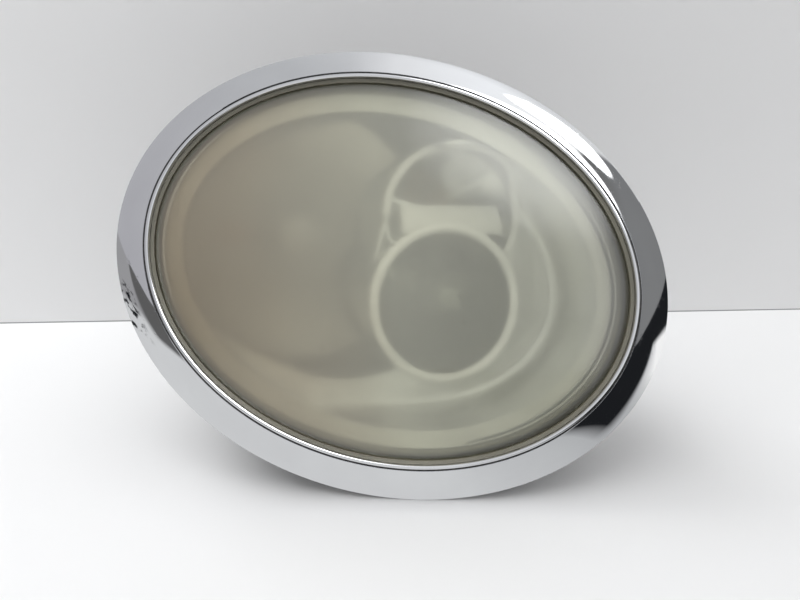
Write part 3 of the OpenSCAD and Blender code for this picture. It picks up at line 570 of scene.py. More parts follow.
def oval_tree():
    """Lays a flat grid of (t, depth, angle) on the lamp's oval."""
    sizes = ("Half Width", "Half Height", "Width Step", "Height Step", "Drop", "Slope")
    tree, given = geometry_tree("lay_on_oval", {label: "Float" for label in sizes})
    place = tree.nodes.new("GeometryNodeInputPosition").outputs[0]
    t, depth, angle = add(tree, "ShaderNodeSeparateXYZ", {0: place}).outputs
    across = plus(tree, given["Half Width"], times(tree, t, given["Width Step"]))
    upright = plus(tree, given["Half Height"], times(tree, t, given["Height Step"]))
    x = times(tree, across, maths(tree, "COSINE", angle))
    z = times(tree, upright, maths(tree, "SINE", angle))
    sunk = times(tree, maths(tree, "MAXIMUM", t, 0.0), given["Drop"])
    y = plus(tree, depth, times(tree, x, given["Slope"]))
    laid = add(tree, "ShaderNodeCombineXYZ", {0: x, 1: y, 2: maths(tree, "SUBTRACT", z, sunk)}).outputs[0]
    laid = add(tree, "GeometryNodeSetPosition", {"Geometry": given["Geometry"], "Position": laid}).outputs[0]
    sewn = add(tree, "GeometryNodeMergeByDistance", {"Geometry": laid, "Distance": 0.0005}).outputs[0]
    return end_tree(tree, given, sewn)


def copies_tree():
    """Copies of a shape turned about the depth axis."""
    tree, given = geometry_tree("copies_around_axis", {"Count": "Int", "Step": "Float", "First": "Float"})
    points = add(tree, "GeometryNodePoints", {"Count": given["Count"]}).outputs[0]
    index = tree.nodes.new("GeometryNodeInputIndex").outputs[0]
    turn = plus(tree, times(tree, index, given["Step"]), given["First"])
    euler = add(tree, "ShaderNodeCombineXYZ", {2: turn}).outputs[0]
    copied = add(tree, "GeometryNodeInstanceOnPoints", {"Points": points, "Instance": given["Geometry"],
                                                        "Rotation": euler}).outputs[0]
    return end_tree(tree, given, copied)


def follow_tree():
    """Sweeps a round bead along a path of points."""
    tree, given = geometry_tree("bead_along_path", {"Radius": "Float", "Closed": "Bool"})
    path = add(tree, "GeometryNodeMeshToCurve", {"Mesh": given["Geometry"]}).outputs[0]
    circle = add(tree, "GeometryNodeCurvePrimitiveCircle", {"Resolution": 10, "Radius": given["Radius"]})
    open_end = maths(tree, "SUBTRACT", 1.0, given["Closed"])
    swept = add(tree, "GeometryNodeCurveToMesh", {"Curve": path, "Profile Curve": circle.outputs[0],
                                                  "Fill Caps": open_end}).outputs[0]
    return end_tree(tree, given, swept)


TREES = {"oval": oval_tree(), "copies": copies_tree(), "bead": follow_tree()}


def run(tree_name, mesh, finish, **values):
    """Plain mesh that a Geometry Nodes tree makes of a mesh; inputs are set by name, with _ for a space."""
    obj = new_object("work", mesh)
    modifier = obj.modifiers.new("tree", "NODES")
    modifier.node_group = TREES[tree_name]
    sockets = {s.name: s.identifier for s in TREES[tree_name].interface.items_tree if s.in_out == "INPUT"}
    for label, value in values.items():
        modifier[sockets[label.replace("_", " ")]] = value
    modifier[sockets["Finish"]] = FINISH[finish][0]
    return applied(obj)


def copies(mesh, at, count, finish, first=0.0):
    """Copies of a shape, drawn about (0, 0), around the optic axis through (u, v)."""
    out = run("copies", mesh, finish, Count=count, Step=2 * pi / count, First=radians(first))
    return moved(out, Matrix.Translation((at[0], at[1], 0)))


def bead(path, radius, finish, closed=False):
    """Round bead along a path; a plain edge mesh carries the path."""
    mesh = bpy.data.meshes.new("path")
    edges = [(i, i + 1) for i in range(len(path) - 1)] + ([(len(path) - 1, 0)] if closed else [])
    mesh.from_pydata(path, edges, [])
    return run("bead", mesh, finish, Radius=radius, Closed=closed)


def on_oval(section, finish, half_width, half_height, width_step, height_step, drop=0.0, slope=0.0,
            steps=288, closed=True):
    """Closed or open section of (t, depth) points laid round the oval."""
    points = [(t, y, 2 * pi * k / steps) for k in range(steps + 1) for t, y in section]
    grid = bpy.data.meshes.new("section")
    grid.from_pydata(points, [], skin(len(section), steps + 1, closed))
    return run("oval", grid, finish, Half_Width=half_width, Half_Height=half_height, Width_Step=width_step,
               Height_Step=height_step, Drop=drop, Slope=slope)


# Front: trim ring, cover and the lining between them and the mask

def flange_y(t):
    return FLANGE_DROP * (0.45 * t + 0.55 * t * t)


def trim_ring():
    bead_t = 0.05
    turns = [radians(20 * k - 90) for k in range(10)]
    front = [(-bead_t, RING_DEPTH - 0.1), (-bead_t, 4.0)]
    front += [(bead_t * sin(a), 0.5 - 0.45 * cos(a)) for a in turns]
    groove = [(1.15 * bead_t, 1.2), (1.35 * bead_t, 2.6), (1.9 * bead_t, 2.6),
              (2.0 * bead_t, flange_y(0.12) + 0.2)]
    face = [(t, flange_y(t)) for t in (0.11 + 0.885 * k / 22 for k in range(23))]
    edge = [(1.0, FLANGE_DROP + 0.25), (1.0, FLANGE_DROP + LIP - 0.2), (0.985, FLANGE_DROP + LIP)]
    under = [(t, flange_y(t) + RING_WALL) for t in (0.94 - 0.7 * k / 8 for k in range(9))]
    inner = [(2.4 * bead_t, 4.0), (1.6 * bead_t, 4.6), (1.6 * bead_t, RING_DEPTH - 0.1)]
    on_ring = (OPEN_A, OPEN_B, FLANGE_W, FLANGE_H, RING_OFFSET)
    mesh = on_oval(front + groove + face + edge + under + inner, "chrome", *on_ring)
    piece("trim_ring_plated", mesh, LAMP, "chrome", "housing", ("trim_ring",), 28)
    strip = [(1.3 * bead_t, 1.5), (1.95 * bead_t, 1.1), (1.95 * bead_t, 2.7), (1.3 * bead_t, 2.7)]
    piece("trim_ring_strip", on_oval(strip, "rubber", *on_ring), LAMP, "rubber", "housing")


def cover():
    """Domed cover; t is the share of the half size less one."""
    def dome(f):
        return LENS_EDGE - DOME_RISE * (1 - f * f)

    shares = [0.0] + [0.05 + 0.93 * k / 22 for k in range(23)]
    outer = [(f - 1, dome(f)) for f in shares]
    turns = [radians(15 * k) for k in range(1, 7)]
    shoulder = [(-0.02 + 0.02 * sin(a), dome(0.98) + 2.6 * (1 - cos(a))) for a in turns]
    skirt = [(0.0, LENS_EDGE + 5), (0.0, CHANNEL_DEPTH - 0.2)]
    thick = LENS_WALL / LENS_A
    back = [(-thick, CHANNEL_DEPTH - 0.2), (-thick, LENS_EDGE + 6)]
    inside = [(f - 1 - max(0.0, thick * (f - 0.9) / 0.08), dome(f) + LENS_WALL) for f in shares[::-1]]
    section = outer + shoulder + skirt + back + inside
    mesh = on_oval(section, "cover", LENS_A, LENS_B, LENS_A, LENS_B, closed=False)
    piece("cover_dome", mesh, LAMP, "cover", "housing", ("cover_lens",), 40)


def wall_lining():
    """Pale shelf in front of the mask's edge, clear of its travel, and a pale band on the wall behind; their
    pale grey is painted light, brightening the edge of the view through the cover.
    """
    shelf = [(0.0, 11.2), (-8.8, 11.0), (-9.2, 11.3), (-9.2, 12.6), (-8.4, 12.6), (-8.3, 11.9), (0.0, 12.0)]
    wall = [(-WALL, 21.6), (-WALL - 0.6, 21.6), (-WALL - 0.6, 34.0), (-WALL, 34.0)]
    strut = [(0.0, 11.6), (0.0, 21.0), (-0.8, 21.0), (-0.8, 11.6)]
    sections = ((shelf, 3.6, 3.6, 0.05), (strut, 3.6, 3.6, 0.0), (wall, 1.4, 2.4, 0.0))
    parts = [on_oval(section, "lining", LENS_A - a, LENS_B - b, 1.0, 1.0, slope=slope, steps=216)
             for section, a, b, slope in sections]
    piece("wall_lining", joined(*parts), LAMP, "lining", "housing")


# Optics behind the cover

def optic_rod(at, radius, s0=CUT_FROM, s1=CUT_TO):
    return moved(rod(at, radius, s0, s1, 120), OPTIC)


def mask_y(x, z):
    """How far back the mask's sheet lies at (x, z): deepest in its middle, and rising to its rim."""
    middle_y, rim_y = 31 + 0.34 * max(x, -20), 19 + 0.07 * x
    middle, slope = 0.8, 0.2
    f = min(1.0, hypot(x / MASK_A, z / MASK_B))
    depth = 1.0 if f <= middle else 1 - ((f - middle) / slope) ** 2.2
    return rim_y + depth * (middle_y - rim_y)


def depth_on_mask(u, v):
    """Depth along the beam at which (u, v) meets the mask's sheet."""
    near, far = -60.0, 60.0
    for _ in range(30):
        s = (near + far) / 2
        at = OPTIC @ Vector((u, v, s))
        near, far = (s, far) if at.y < mask_y(at.x, at.z) else (near, s)
    return near


def mask():
    def ring(f, lift):
        return [(x, mask_y(x, z) + lift, z) for x, z in ellipse(f * MASK_A, f * MASK_B, 180)]

    shares = [0.03] + [0.1 * k for k in range(1, 8)] + [0.76] + [0.8 + 0.2 * k / 14 for k in range(15)]
    sheet = band([ring(f, 0) for f in shares] + [ring(f, SKIN_T) for f in shares[::-1]], ends=True)
    sheet = combined(sheet, "DIFFERENCE", moved(rod(EYE_AT, EYE_R, -10, 100, 160), SWAP),
                     optic_rod(LOW_AT, SHROUD_R - 0.5), optic_rod(IND_AT, IND_R - 0.5),
                     optic_rod(MAIN_AT, MAIN_R + 2.4))
    curl, inner = 2.3, SHROUD_R - SHROUD_T
    curl_s, end_s = LOW_S + curl, LOW_S + TUBE_LEN
    shroud = turned(LOW_AT, [(SHROUD_R, end_s), (SHROUD_R, curl_s), (inner, curl_s), (inner, end_s)], 144)
    turns = [pi * k / 10 for k in range(11)]
    arc = [(SHROUD_R - curl + curl * cos(a), curl_s - curl * sin(a)) for a in turns]
    shroud_rim = turned(LOW_AT, arc + [(SHROUD_R - 2 * curl, LOW_S + 3.2), (inner - 0.1, LOW_S + 4.6),
                                       (inner - 0.1, LOW_S + 5.2), (SHROUD_R, LOW_S + 5.2)], 144)
    inner_r = IND_R - SHROUD_T
    middle = ((LOW_AT[0] + IND_AT[0]) / 2, (LOW_AT[1] + IND_AT[1]) / 2)
    brow = combined(tube(IND_AT, IND_R, inner_r, IND_S - BROW, IND_S + 0.5, 144), "INTERSECT",
                    block(beside(IND_AT, 0, IND_R), IND_S - BROW - 1, IND_S + 2, 2 * IND_R, 14))
    sides = combined(block(middle, IND_S + 0.2, IND_S + IND_TUBE - 0.2, 2 * IND_R, 20), "DIFFERENCE",
                     block(middle, IND_S - 1, IND_S + IND_TUBE + 1, 2 * inner_r, 22),
                     rod(IND_AT, IND_R - 0.5, CUT_FROM, CUT_TO))
    hood = combined(tube(IND_AT, IND_R, inner_r, IND_S, IND_S + IND_TUBE, 144), "UNION", brow, sides)
    hood = bevelled(combined(hood, "DIFFERENCE", rod(LOW_AT, SHROUD_R - 0.5, CUT_FROM, CUT_TO, 144)), 0.5)
    screw_s = PLATE_S - SCREW_IN
    posts = [joined(rod((u, v), POST_R, s, screw_s, 24),
                    tube((u, v), POST_R, POST_BORE, screw_s, PLATE_S, 24)) for u, v, s in POSTS]
    whole = joined(sheet, moved(joined(shroud, *posts), OPTIC))
    piece("light_mask", whole, LAMP, "mask", "optics", ("bezel",))
    # The projector's rim and the indicator's lip are plated; their satin white is painted sheen.
    piece("projector_rim", shroud_rim, BEAM, "rim", "optics")
    lip, lip_r = [], IND_R - 1.0
    for a in (radians(4 * k - 16) for k in range(54)):
        u, v = beside(IND_AT, lip_r * cos(a), lip_r * sin(a))
        lip.append((u, v, min(depth_on_mask(u, v), IND_S) - 0.8))
    piece("indicator_hood", hood, BEAM, "mask", "optics")
    piece("indicator_lip", bead(lip, 2.1, "rim"), BEAM, "rim", "optics")


def main_bowl():
    def depth(r):
        return MAIN_BACK - r * r / (4 * MAIN_FOCUS)

    seat = MAIN_BACK + 1.5
    radii = [MAIN_HOLE + (MAIN_R - MAIN_HOLE) * k / 26 for k in range(27)]
    inside = [(r, depth(r)) for r in radii]
    outside = [(r + 0.8 * BOWL_T, depth(r) + 0.6 * BOWL_T) for r in radii[::-1] if r > 18]
    bowl = turned(MAIN_AT, inside + outside + [(SEAT_R, seat - 3), (SEAT_R, seat), (MAIN_HOLE, seat)], 168)
    flange_r, flange_s = 44, 53
    flange = turned(MAIN_AT, [(39, flange_s), (flange_r, flange_s), (flange_r, PLATE_S), (38, PLATE_S)], 120)
    edge = ellipse(MASK_A - 0.5, MASK_B - 0.5, 200)
    oval = band([[(x, y, z) for x, z in edge] for y in (0.0, 100.0)], ends=True)
    whole = moved(combined(bowl, "UNION", flange), OPTIC)
    whole = combined(whole, "DIFFERENCE", optic_rod(LOW_AT, SHROUD_R + 0.6), optic_rod(IND_AT, IND_R + 0.6),
                     optic_rod(SIDE_AT, SIDE_R, 20))
    whole = combined(whole, "INTERSECT", oval)
    piece("main_bowl", whole, LAMP, "mask", "optics", ("main_reflector",), 28, "reflector_mirror")


def low_beam():
    front, rise, full = LENS_FRONT - 2.0, 11.0, LOW_LENS_R + 2.2
    bulge = (full ** 2 + rise ** 2) / (2 * rise)
    radii = [(full - 0.5) * k / 28 for k in range(29)]
    curve = [(r, front + bulge - sqrt(bulge * bulge - r * r)) for r in radii]
    lens = turned(LOW_AT, curve + [(full, curve[-1][1] + 0.6), (full, 11.0), (LOW_LENS_R, 11.5),
                                   (LOW_LENS_R, LENS_BACK), (0, LENS_BACK)], 144)
    piece("projector_lens", lens, BEAM, "lens", "optics", ("low_lens",), 25)
    back, mouth_s, mouth, flange_r = 72.0, 44.0, 31.0, 36.8
    deep, reach = back - mouth_s, mouth - MAIN_HOLE
    turns = [radians(15 * k) for k in range(7)]
    inside = [(MAIN_HOLE + reach * cos(a), mouth_s + deep * sin(a)) for a in turns[::-1]]
    outside = [(MAIN_HOLE + (reach + 1.5) * cos(a), mouth_s + (deep + 1.5) * sin(a)) for a in turns[:5]]
    bowl = turned(LOW_AT, inside + outside + [(SEAT_R, back), (SEAT_R, back + 2), (MAIN_HOLE, back + 2)], 14)
    rims = [tube(LOW_AT, flange_r, mouth, mouth_s, mouth_s + 2.5),
            tube(LOW_AT, flange_r, mouth - 1, PLATE_S - 3, PLATE_S)]
    piece("projector_bowl", combined(bowl, "UNION", *rims), BEAM, "mirror", "optics", ("low_reflector",), 8)


def indicator():
    """Fine slanting flutes in the indicator's bowl, and the ledge across it."""
    deep, bowl_r, slant = IND_BACK - IND_S - 2, IND_R - 2.0, radians(52)
    along, across = (cos(slant), sin(slant)), (-0.79, 0.62)
    flutes = []
    for offset in (-12, -6, 0, 6, 12):
        path = []
        for w in range(-30, 31, 2):
            u, v = (w * along[i] + offset * across[i] for i in (0, 1))
            r = hypot(u, v)
            if r < 30 and v > 2 and hypot(u, v - 6) > 9.5:
                path.append((IND_AT[0] + u, IND_AT[1] + v, IND_S + 2 + deep * (1 - (r / bowl_r) ** 2) - 0.1))
        if len(path) > 3:
            flutes.append(bead(path, 0.9, "spring"))
    # The flutes are part of the mirror bowl; their darker steel is painted shade, the dark lines between
    # their bright strips.
    piece("indicator_flutes", joined(*flutes), BEAM, "spring", "optics", (), 60, "reflector_mirror")
    ledge_at, tilt, half_w = (IND_AT[0] + 1, 31.5, IND_S), radians(16), 27.0
    level = Matrix.Translation(ledge_at) @ Matrix.Rotation(tilt, 4, "Z")
    ledge = [(-2.5, -4.0), (-2.5, 1.0), (3.3, 10.5), (5.0, 10.5), (2.0, -4.0)]
    rings = [[level @ Vector((k * half_w, v, s)) for s, v in ledge] for k in (-1, -0.5, 0, 0.5, 1)]
    # The ledge is a mirror surface; its satin white paints the light from above that it reflects.
    piece("indicator_ledge", bevelled(band(rings, ends=True), 0.3), BEAM, "rim", "optics",
          slot="reflector_mirror")


def filament(name, at, depth):
    """Coil along the optic axis from a depth on, and its two straight leads."""
    coil_r, rise, wire_r, lead_r, apart, lead = 0.7, 0.18, 0.16, 0.2, 2.4, 14
    turns = [0.5 * k for k in range(76)]
    coil = [(at[0] + coil_r * cos(a), at[1] + coil_r * sin(a), depth + rise * a) for a in turns]
    leads = [bead([(at[0] + x, at[1], depth + s) for s in (0, lead)], lead_r, "spring")
             for x in (-apart, apart)]
    piece(name, joined(bead(coil, wire_r, "spring"), *leads), BEAM, "spring", "optics", angle=60)


# Rear: caps, motor and the housing's ribs

def cap(name, at, port_r, teeth):
    """Rubber cap over a bulb's port, with grip teeth and a handle; name is its node and its body."""
    r, top = port_r + PORT_WALL + FIT, COLLAR_END + SEAL_RING_T
    outer, lid, mouth = r + 2.4, top + CAP_T, COLLAR_END - CAP_GRIP
    base = outer - 0.7
    shell = turned(at, [
        (0, top), (r, top), (r, mouth), (outer - 0.3, mouth), (outer, mouth + 0.3), (outer, mouth + 1.5),
        (base, mouth + 2.1), (base, lid - 1.2), (base - 0.35, lid - 0.35), (base - 1.2, lid),
        (base - 2.8, lid), (base - 3.2, lid - 0.6), (base - 4.4, lid - 0.6), (base - 4.8, lid),
        (0, lid)], 120)
    tooth = block((base + 0.1, 0), mouth + 2.4, lid - 1.4, 1.2, 1.7, 0.3, 2)
    handle = block(at, lid - 0.2, lid + 5, 1.4 * port_r, 4, 1.3)
    webs = [block(beside(at, k * 0.45 * port_r), lid - 0.2, lid + 2.4, 1.5, 9.0, 0.5, 2) for k in (-1, 1)]
    whole = joined(shell, copies(tooth, at, teeth, "rubber"), handle, *webs)
    piece(name + "_moulded", whole, BEAM, "rubber", name, (name,))


def motor():
    start_s, end = REAR_DEPTH, REAR_DEPTH + MOTOR_DEEP
    parts = [
        block(MOTOR_AT, start_s, start_s + 11.6, MOTOR_W, MOTOR_H, 1.2),
        block(MOTOR_AT, start_s + 10, start_s + 14, MOTOR_W - 1.2, MOTOR_H - 1.2),
        block(MOTOR_AT, start_s + 12.2, end - 0.8, MOTOR_W, MOTOR_H, 1.2),
        block(MOTOR_AT, end - 1.6, end, MOTOR_W - 8, MOTOR_H - 8, 0.5, 2),
    ]
    parts += [block(beside(MOTOR_AT, 6.5 * k, MOTOR_H / 2), start_s + 2, start_s + 10, 1.4, 1.6, 0.3, 2)
              for k in range(-3, 4)]
    bore = rod(LIFT_AT, LIFT_BORE, start_s - 10, start_s + 18)
    body = joined(*[combined(part, "DIFFERENCE", bore) for part in parts[:3]], *parts[3:],
                  tube(LIFT_AT, MOTOR_NECK, LIFT_BORE, start_s - 8, start_s + 1))
    stub_at = beside(MOTOR_AT, 15, -4)
    stub = combined(block(stub_at, end - 1, end + 4, 16, 12, 0.6), "DIFFERENCE",
                    block(stub_at, end + 0.6, end + 6, 13, 9))
    piece("motor_case", joined(body, stub), BEAM, "case", "housing", ("levelling_motor",))
    head = [(0, end - 1), (2.2, end - 1), (2.2, end - 0.3), (1.9, end), (0.9, end), (0.9, end - 0.6),
            (0, end - 0.6)]
    heads = [turned(beside(MOTOR_AT, x * 22.2, y * 11.2), head, 24) for x in (-1, 1) for y in (-1, 1)]
    piece("motor_screws", joined(*heads), BEAM, "zinc", "housing")
    pins = [block(beside(stub_at, 3.6 * k), end, end + 3.4, 1.0, 1.0, 0.15, 2) for k in (-1, 0, 1)]
    piece("motor_pins", joined(*pins), BEAM, "brass", "housing")


def bucket_point(t, k, out):
    """Point on the housing's wall at angle t, a share k of the way back, lifted by out."""
    def on_wall(t, k):
        front = Vector((BUCKET_A * cos(t), BUCKET_Y, BUCKET_B * sin(t)))
        rear = OPTIC @ Vector((REAR_U + (REAR_A + 5) * cos(t), (REAR_B + 5) * sin(t), REAR_DEPTH - 18))
        return front.lerp(rear, k)

    here = on_wall(t, k)
    normal = (on_wall(t + 0.01, k) - here).cross(on_wall(t, k + 0.01) - here).normalized()
    if normal.dot(here - Vector((0, here.y, 0))) < 0:
        normal = -normal
    return here + out * normal


def rib(t, height):
    """Thin rib along the wall at angle t, tapered at both ends."""
    width, wall_r = 1.8, 95.0
    half = width / 2 / wall_r
    rings = []
    for i in range(15):
        k = 0.01 + 0.98 * i / 14
        lift = height * min(1.0, i / 3, (14 - i) / 2)
        corners = ((-half, -0.4), (half, -0.4), (half * 0.7, lift + 0.05), (-half * 0.7, lift + 0.05))
        rings.append([bucket_point(t + turn, k, out) for turn, out in corners])
    return band(rings, ends=True)


def housing_ribs():
    """Moulded relief: ribs and beads on the wall; webs, bars and screw bosses on the rear face."""
    parts = [rib(radians(t), 2.6) for t in (8, 24, 68, 90, 112, 156, 172, 188, 204, 340, 356)]
    parts += [rib(radians(t), 1.4) for t in (38, 52, 128, 142)]
    for k, size in ((0.36, 0.9), (0.93, 0.8)):
        parts.append(bead([bucket_point(a, k, 0.2) for a in around(144)], size, "housing", True))
    face = REAR_DEPTH
    sunk = face - 0.5
    rim = [(REAR_U + x, z, face) for x, z in ellipse(REAR_A - 0.6, REAR_B - 0.6, 144)]
    rear = [bead(rim, 1.0, "housing", True)]
    ports = ((MAIN_AT, MAIN_PORT_R, 12), (LOW_AT, LOW_PORT_R, 12), (IND_NECK, IND_PORT_R, 8))
    for at, port_r, count in ports:
        web = block((port_r + PORT_WALL + 1.4, 0), sunk, face + 2.4, 3.2, 1.3, 0.25, 2)
        rear.append(copies(web, at, count, "housing", 15))
    for at, turn in (((64, -8), 0), ((62, 8), 12), ((60, 22), 28), ((-77, 8), 0), ((-74, -12), -18)):
        rear.append(moved(block((0, 0), sunk, face + 2.0, 7, 1.5, 0.3, 2),
                          Matrix.Translation((*at, 0)) @ Matrix.Rotation(radians(turn), 4, "Z")))
    boss = [(1.4, sunk), (4, sunk), (3.6, face + 3.2), (3.3, face + 3.5), (1.4, face + 3.5)]
    rear += [turned(at, boss, 32) for at in ((54, 24), (-62, -34), (58, -26))]
    piece("housing_ribs", joined(*parts, moved(joined(*rear), OPTIC)), LAMP, "housing", "housing")
    latch = [block(beside(CONN_AT, 0, -10.1), 104, 117, 8, 2.6, 0.5, 2)]
    latch += [block(beside(CONN_AT, x * 13.4), 101, 118, 1.2, 2.2, 0.3, 2) for x in (-1, 1)]
    piece("connector_latch", joined(*latch), BEAM, "case", "housing")


trim_ring()
cover()
wall_lining()
mask()
main_bowl()
low_beam()
indicator()
filament("main_filament", MAIN_AT, MAIN_COIL_S)
filament("low_filament", LOW_AT, LOW_COIL_S)
cap("main_cap", MAIN_AT, MAIN_PORT_R, 36)
cap("low_cap", LOW_AT, LOW_PORT_R, 36)
cap("indicator_cap", IND_NECK, IND_PORT_R, 20)
motor()
housing_ribs()

# Solids shown as they are: node, finish, bevel, and the slot where it isn't the finish's own
PLAIN = {
    "housing": [
        ("ring_clips", "spring", 0.25), ("lens_seal", "sealant", 0), ("body_seal", "foam", 0.6),
        ("housing", "housing", 0.35), ("fixing_sleeves", "zinc", 0.3), ("breather_cap", "rubber", 0.6),
        ("connector_shell", "case", 0.35), ("connector_pins", "brass", 0.12), ("pivot_stud", "zinc", 0.3),
        ("aim_bush", "nylon", 0.25), ("inner_wires", "wire", 0),
    ],
    "ball_socket": [("pivot_socket", "nylon", 0.3)],
    "optics": [
        # The carrier plate is grey plastic; the pale lining finish on it is painted light for what shows
        # through the gaps behind the mask.
        ("carrier_plate", "lining", 0.4, "grey_plastic"), ("carrier_screws", "zinc", 0.2),
        ("adjuster_sockets", "nylon", 0.3), ("main_bulb", "quartz", 0), ("main_bulb_base", "zinc", 0.2),
        ("main_bulb_shield", "spring", 0.2, "plated_steel"), ("side_bulb", "amber", 0),
        ("side_holder", "grey", 0.3), ("low_lens_holder", "zinc", 0.25), ("cutoff_plate", "dark_steel", 0.15),
        ("low_bulb", "quartz", 0), ("low_bulb_base", "zinc", 0.2), ("indicator_reflector", "mirror", 0),
    ],
    "indicator_plug": [("indicator_bulb", "amber", 0), ("indicator_holder", "grey", 0.4)],
    "motor_spindle": [("motor_spindle", "nylon", 0.3)],
    "aim_screw": [("aim_screw", "zinc", 0.2)],
    "aim_knob": [("aim_knob", "grey", 0.3, "black_plastic")],
    "main_clip": [("main_bulb_clip", "spring", 0)],
    "low_clip": [("low_bulb_clip", "spring", 0)],
    "main_cap": [("main_cap_seal", "silicone", 0.3)],
    "low_cap": [("low_cap_seal", "silicone", 0.3)],
}
for body, rows in PLAIN.items():
    for node, finish, bevel, *slot in rows:
        dressed(node, finish, body, bevel, *slot)


# Camera at the photograph's angle

def aim_camera():
    place = (0.0080, -0.4171, 0.2290)
    az, el, turn = radians(0.57), radians(21.22), radians(0.67)
    forward = Vector((-sin(az) * cos(el), cos(az) * cos(el), -sin(el)))
    right = forward.cross(Vector((0, 0, 1))).normalized()
    up = right.cross(forward)
    right, up = right * cos(turn) + up * sin(turn), up * cos(turn) - right * sin(turn)
    data = bpy.data.cameras.new("camera")
    data.sensor_fit, data.sensor_width, data.lens = "HORIZONTAL", 36.0, 36.0
    data.clip_start, data.clip_end = 0.01, 60.0
    camera = new_object("camera", data)
    faced = Matrix((right, up, -forward)).transposed().to_4x4()
    camera.matrix_world = Matrix.Translation(place) @ faced
    bpy.context.scene.camera = camera


# Room: pale floor and wall, soft light, what the plating reflects, and the painted reflection that mirrors
# see in the floor

def stage_sheet(name, corners, colour, reflected):
    """Pale sheet, clear from behind; reflected(tree, x, y) paints the glowing reflection that mirrors see of
    it, and None hides it.
    """
    mesh = bpy.data.meshes.new(name)
    mesh.from_pydata(corners, [], [(0, 1, 2, 3)])
    material, tree, shader, where = start(name)
    cloud = noise(tree, where, 3.0, 3.0)
    fill(tree, shader, {"Base Color": mix(tree, cloud, tuple(0.97 * c for c in colour), colour),
                        "Roughness": 0.6})
    rays = tree.nodes.new("ShaderNodeLightPath").outputs
    clear = tree.nodes.new("ShaderNodeBsdfTransparent").outputs[0]
    if reflected:
        x, y, _ = add(tree, "ShaderNodeSeparateXYZ", {0: where}).outputs
        mirror = add(tree, "ShaderNodeEmission", {"Color": reflected(tree, x, y)}).outputs[0]
    else:
        mirror = clear
    # Mirrors see the painted reflection in place of the lit sheet.
    seen = blended(tree, rays["Is Glossy Ray"], shader.outputs[0], mirror)
    behind = tree.nodes.new("ShaderNodeNewGeometry").outputs["Backfacing"]
    show(tree, blended(tree, behind, seen, clear))
    material.cycles.emission_sampling = "NONE"
    mesh.materials.append(material)
    obj = new_object(name, mesh)
    obj.visible_shadow = False


def step(tree, value, low, high):
    """0 below low, 1 above high."""
    return add(tree, "ShaderNodeMapRange", {"Value": value, "From Min": low, "From Max": high}).outputs[0]


def inside(tree, x, y, left, right, front, back, soft):
    """1 within the rectangle, falling to 0 over soft."""
    across = times(tree, step(tree, x, left, left + soft), step(tree, x, right, right - soft))
    along = times(tree, step(tree, y, front, front + soft), step(tree, y, back, back - soft))
    return times(tree, across, along)


def floor_reflected(tree, x, y):
    """Painted, glowing reflection that mirrors see in the floor: white, with what stands about it: dark to
    the front right and far right, branches at the left, and a painted bright patch.
    """
    where = add(tree, "ShaderNodeCombineXYZ", {0: x, 1: y}).outputs[0]
    twigs = noise(tree, where, 22.0, 3.0)
    twigs = times(tree, step(tree, twigs, 0.52, 0.56), inside(tree, x, y, -0.68, -0.27, -0.11, 0.06, 0.03))
    shade = mix(tree, step(tree, x, -0.40, -0.50), (0.66, 0.67, 0.68), (0.34, 0.34, 0.35))
    shade = mix(tree, step(tree, x, 0.02, 0.13), shade, (0.48, 0.49, 0.50))
    shade = mix(tree, inside(tree, x, y, -9.0, -0.31, -9.0, -0.13, 0.06), shade, (0.12, 0.12, 0.12))
    bright = times(tree, step(tree, x, 0.17, 0.26), step(tree, y, -0.095, -0.045))
    shade = mix(tree, bright, shade, (1.0, 1.0, 1.0))
    front = times(tree, step(tree, x, 0.125, 0.150), step(tree, y, -0.080, -0.095))
    dark = maths(tree, "MAXIMUM", maths(tree, "MAXIMUM", front, step(tree, x, 0.43, 0.52)), twigs)
    return mix(tree, dark, shade, (0.012, 0.013, 0.015))


def area_light(name, place, size, power):
    """Square soft light aimed at the lamp, unseen by mirrors and by what passes the cover."""
    data = bpy.data.lights.new(name, "AREA")
    data.shape, data.size, data.size_y = "RECTANGLE", size, size
    data.energy, data.color = power, (0.98, 0.99, 1.0)
    lamp = new_object(name, data)
    lamp.rotation_mode = "QUATERNION"
    lamp.location = place
    lamp.rotation_quaternion = (Vector((0, 0, 0.05)) - Vector(place)).to_track_quat("-Z", "Y")
    lamp.visible_glossy = False
    lamp.visible_transmission = False


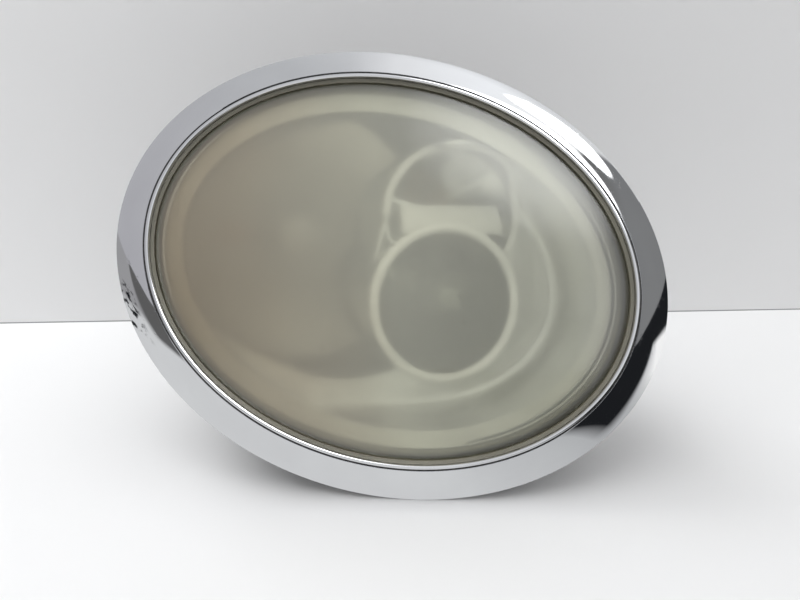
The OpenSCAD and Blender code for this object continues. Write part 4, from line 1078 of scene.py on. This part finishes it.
def room():
    """World: lit from above; mirrors see a pale ceiling, grey left, dark right and one bright window."""
    world = bpy.data.worlds.new("room")
    bpy.context.scene.world = world
    world.use_nodes = True
    tree = world.node_tree
    way = tree.nodes.new("ShaderNodeTexCoord").outputs["Generated"]
    x, y, z = add(tree, "ShaderNodeSeparateXYZ", {0: way}).outputs
    lit = ramp(tree, z, [(0.0, (0.24, 0.24, 0.24)), (0.35, (0.52, 0.52, 0.53)), (1.0, (1.05, 1.05, 1.05))])
    lit = mix(tree, step(tree, y, 0.1, 0.5), lit, (0.26, 0.26, 0.26))
    mirror = ramp(tree, plus(tree, times(tree, x, 0.5), 0.5), [
        (0.0, (0.44, 0.44, 0.47)), (0.35, (0.50, 0.51, 0.53)), (0.45, (0.58, 0.59, 0.61)),
        (0.525, (0.82, 0.83, 0.85)), (0.675, (0.95, 0.97, 1.0)), (0.80, (0.98, 1.0, 1.0)),
        (0.835, (0.98, 1.0, 1.0)), (0.85, (0.145, 0.147, 0.145)), (1.0, (0.17, 0.17, 0.165))])
    low = times(tree, maths(tree, "SUBTRACT", 1.0, step(tree, z, 0.5, 0.7)), step(tree, x, -0.1, 0.1))
    mirror = mix(tree, times(tree, low, 0.35), mirror, (0.30, 0.31, 0.33))
    rays = tree.nodes.new("ShaderNodeLightPath").outputs
    outside = maths(tree, "SUBTRACT", 1.0, rays["Is Transmission Ray"])
    for aim, low, high, shade in (((0.62, 0.40, 0.67), 0.968, 0.988, (6.0, 6.1, 6.2)),
                                  ((0.47, -0.33, 0.82), 0.90, 0.975, (8.0, 8.1, 8.3))):
        toward = add(tree, "ShaderNodeVectorMath", {0: way, 1: Vector(aim).normalized()},
                     operation="DOT_PRODUCT").outputs["Value"]
        mirror = mix(tree, times(tree, step(tree, toward, low, high), outside), mirror, shade)
    seen = mix(tree, rays["Is Glossy Ray"], lit, mirror)
    seen = mix(tree, rays["Is Camera Ray"], seen, (0.66, 0.66, 0.66))
    fill(tree, tree.nodes["Background"], {"Color": seen, "Strength": 1.0})


aim_camera()
stage_sheet("floor", [(-9, -9, 0), (9, -9, 0), (9, 9, 0), (-9, 9, 0)], (0.80, 0.80, 0.80), floor_reflected)
# The second sheet is painted shade: a thin dark strip where the wall meets the floor.
for name, nearer, height, grey in (("wall", 0.0, 9.0, 0.86), ("wall_corner_shade", 0.001, 0.0009, 0.34)):
    left, right = (-6.0, -0.381 - nearer), (9.0, 0.919 - nearer)
    stage_sheet(name, [(*left, 0), (*right, 0), (*right, height), (*left, height)], (grey, grey, grey), None)
area_light("back_left", (-0.70, 0.36, 1.05), 0.7, 6.5)
area_light("front_left", (-0.45, -0.50, 1.40), 1.0, 6.5)
room()
bpy.context.scene.view_settings.view_transform = "Standard"
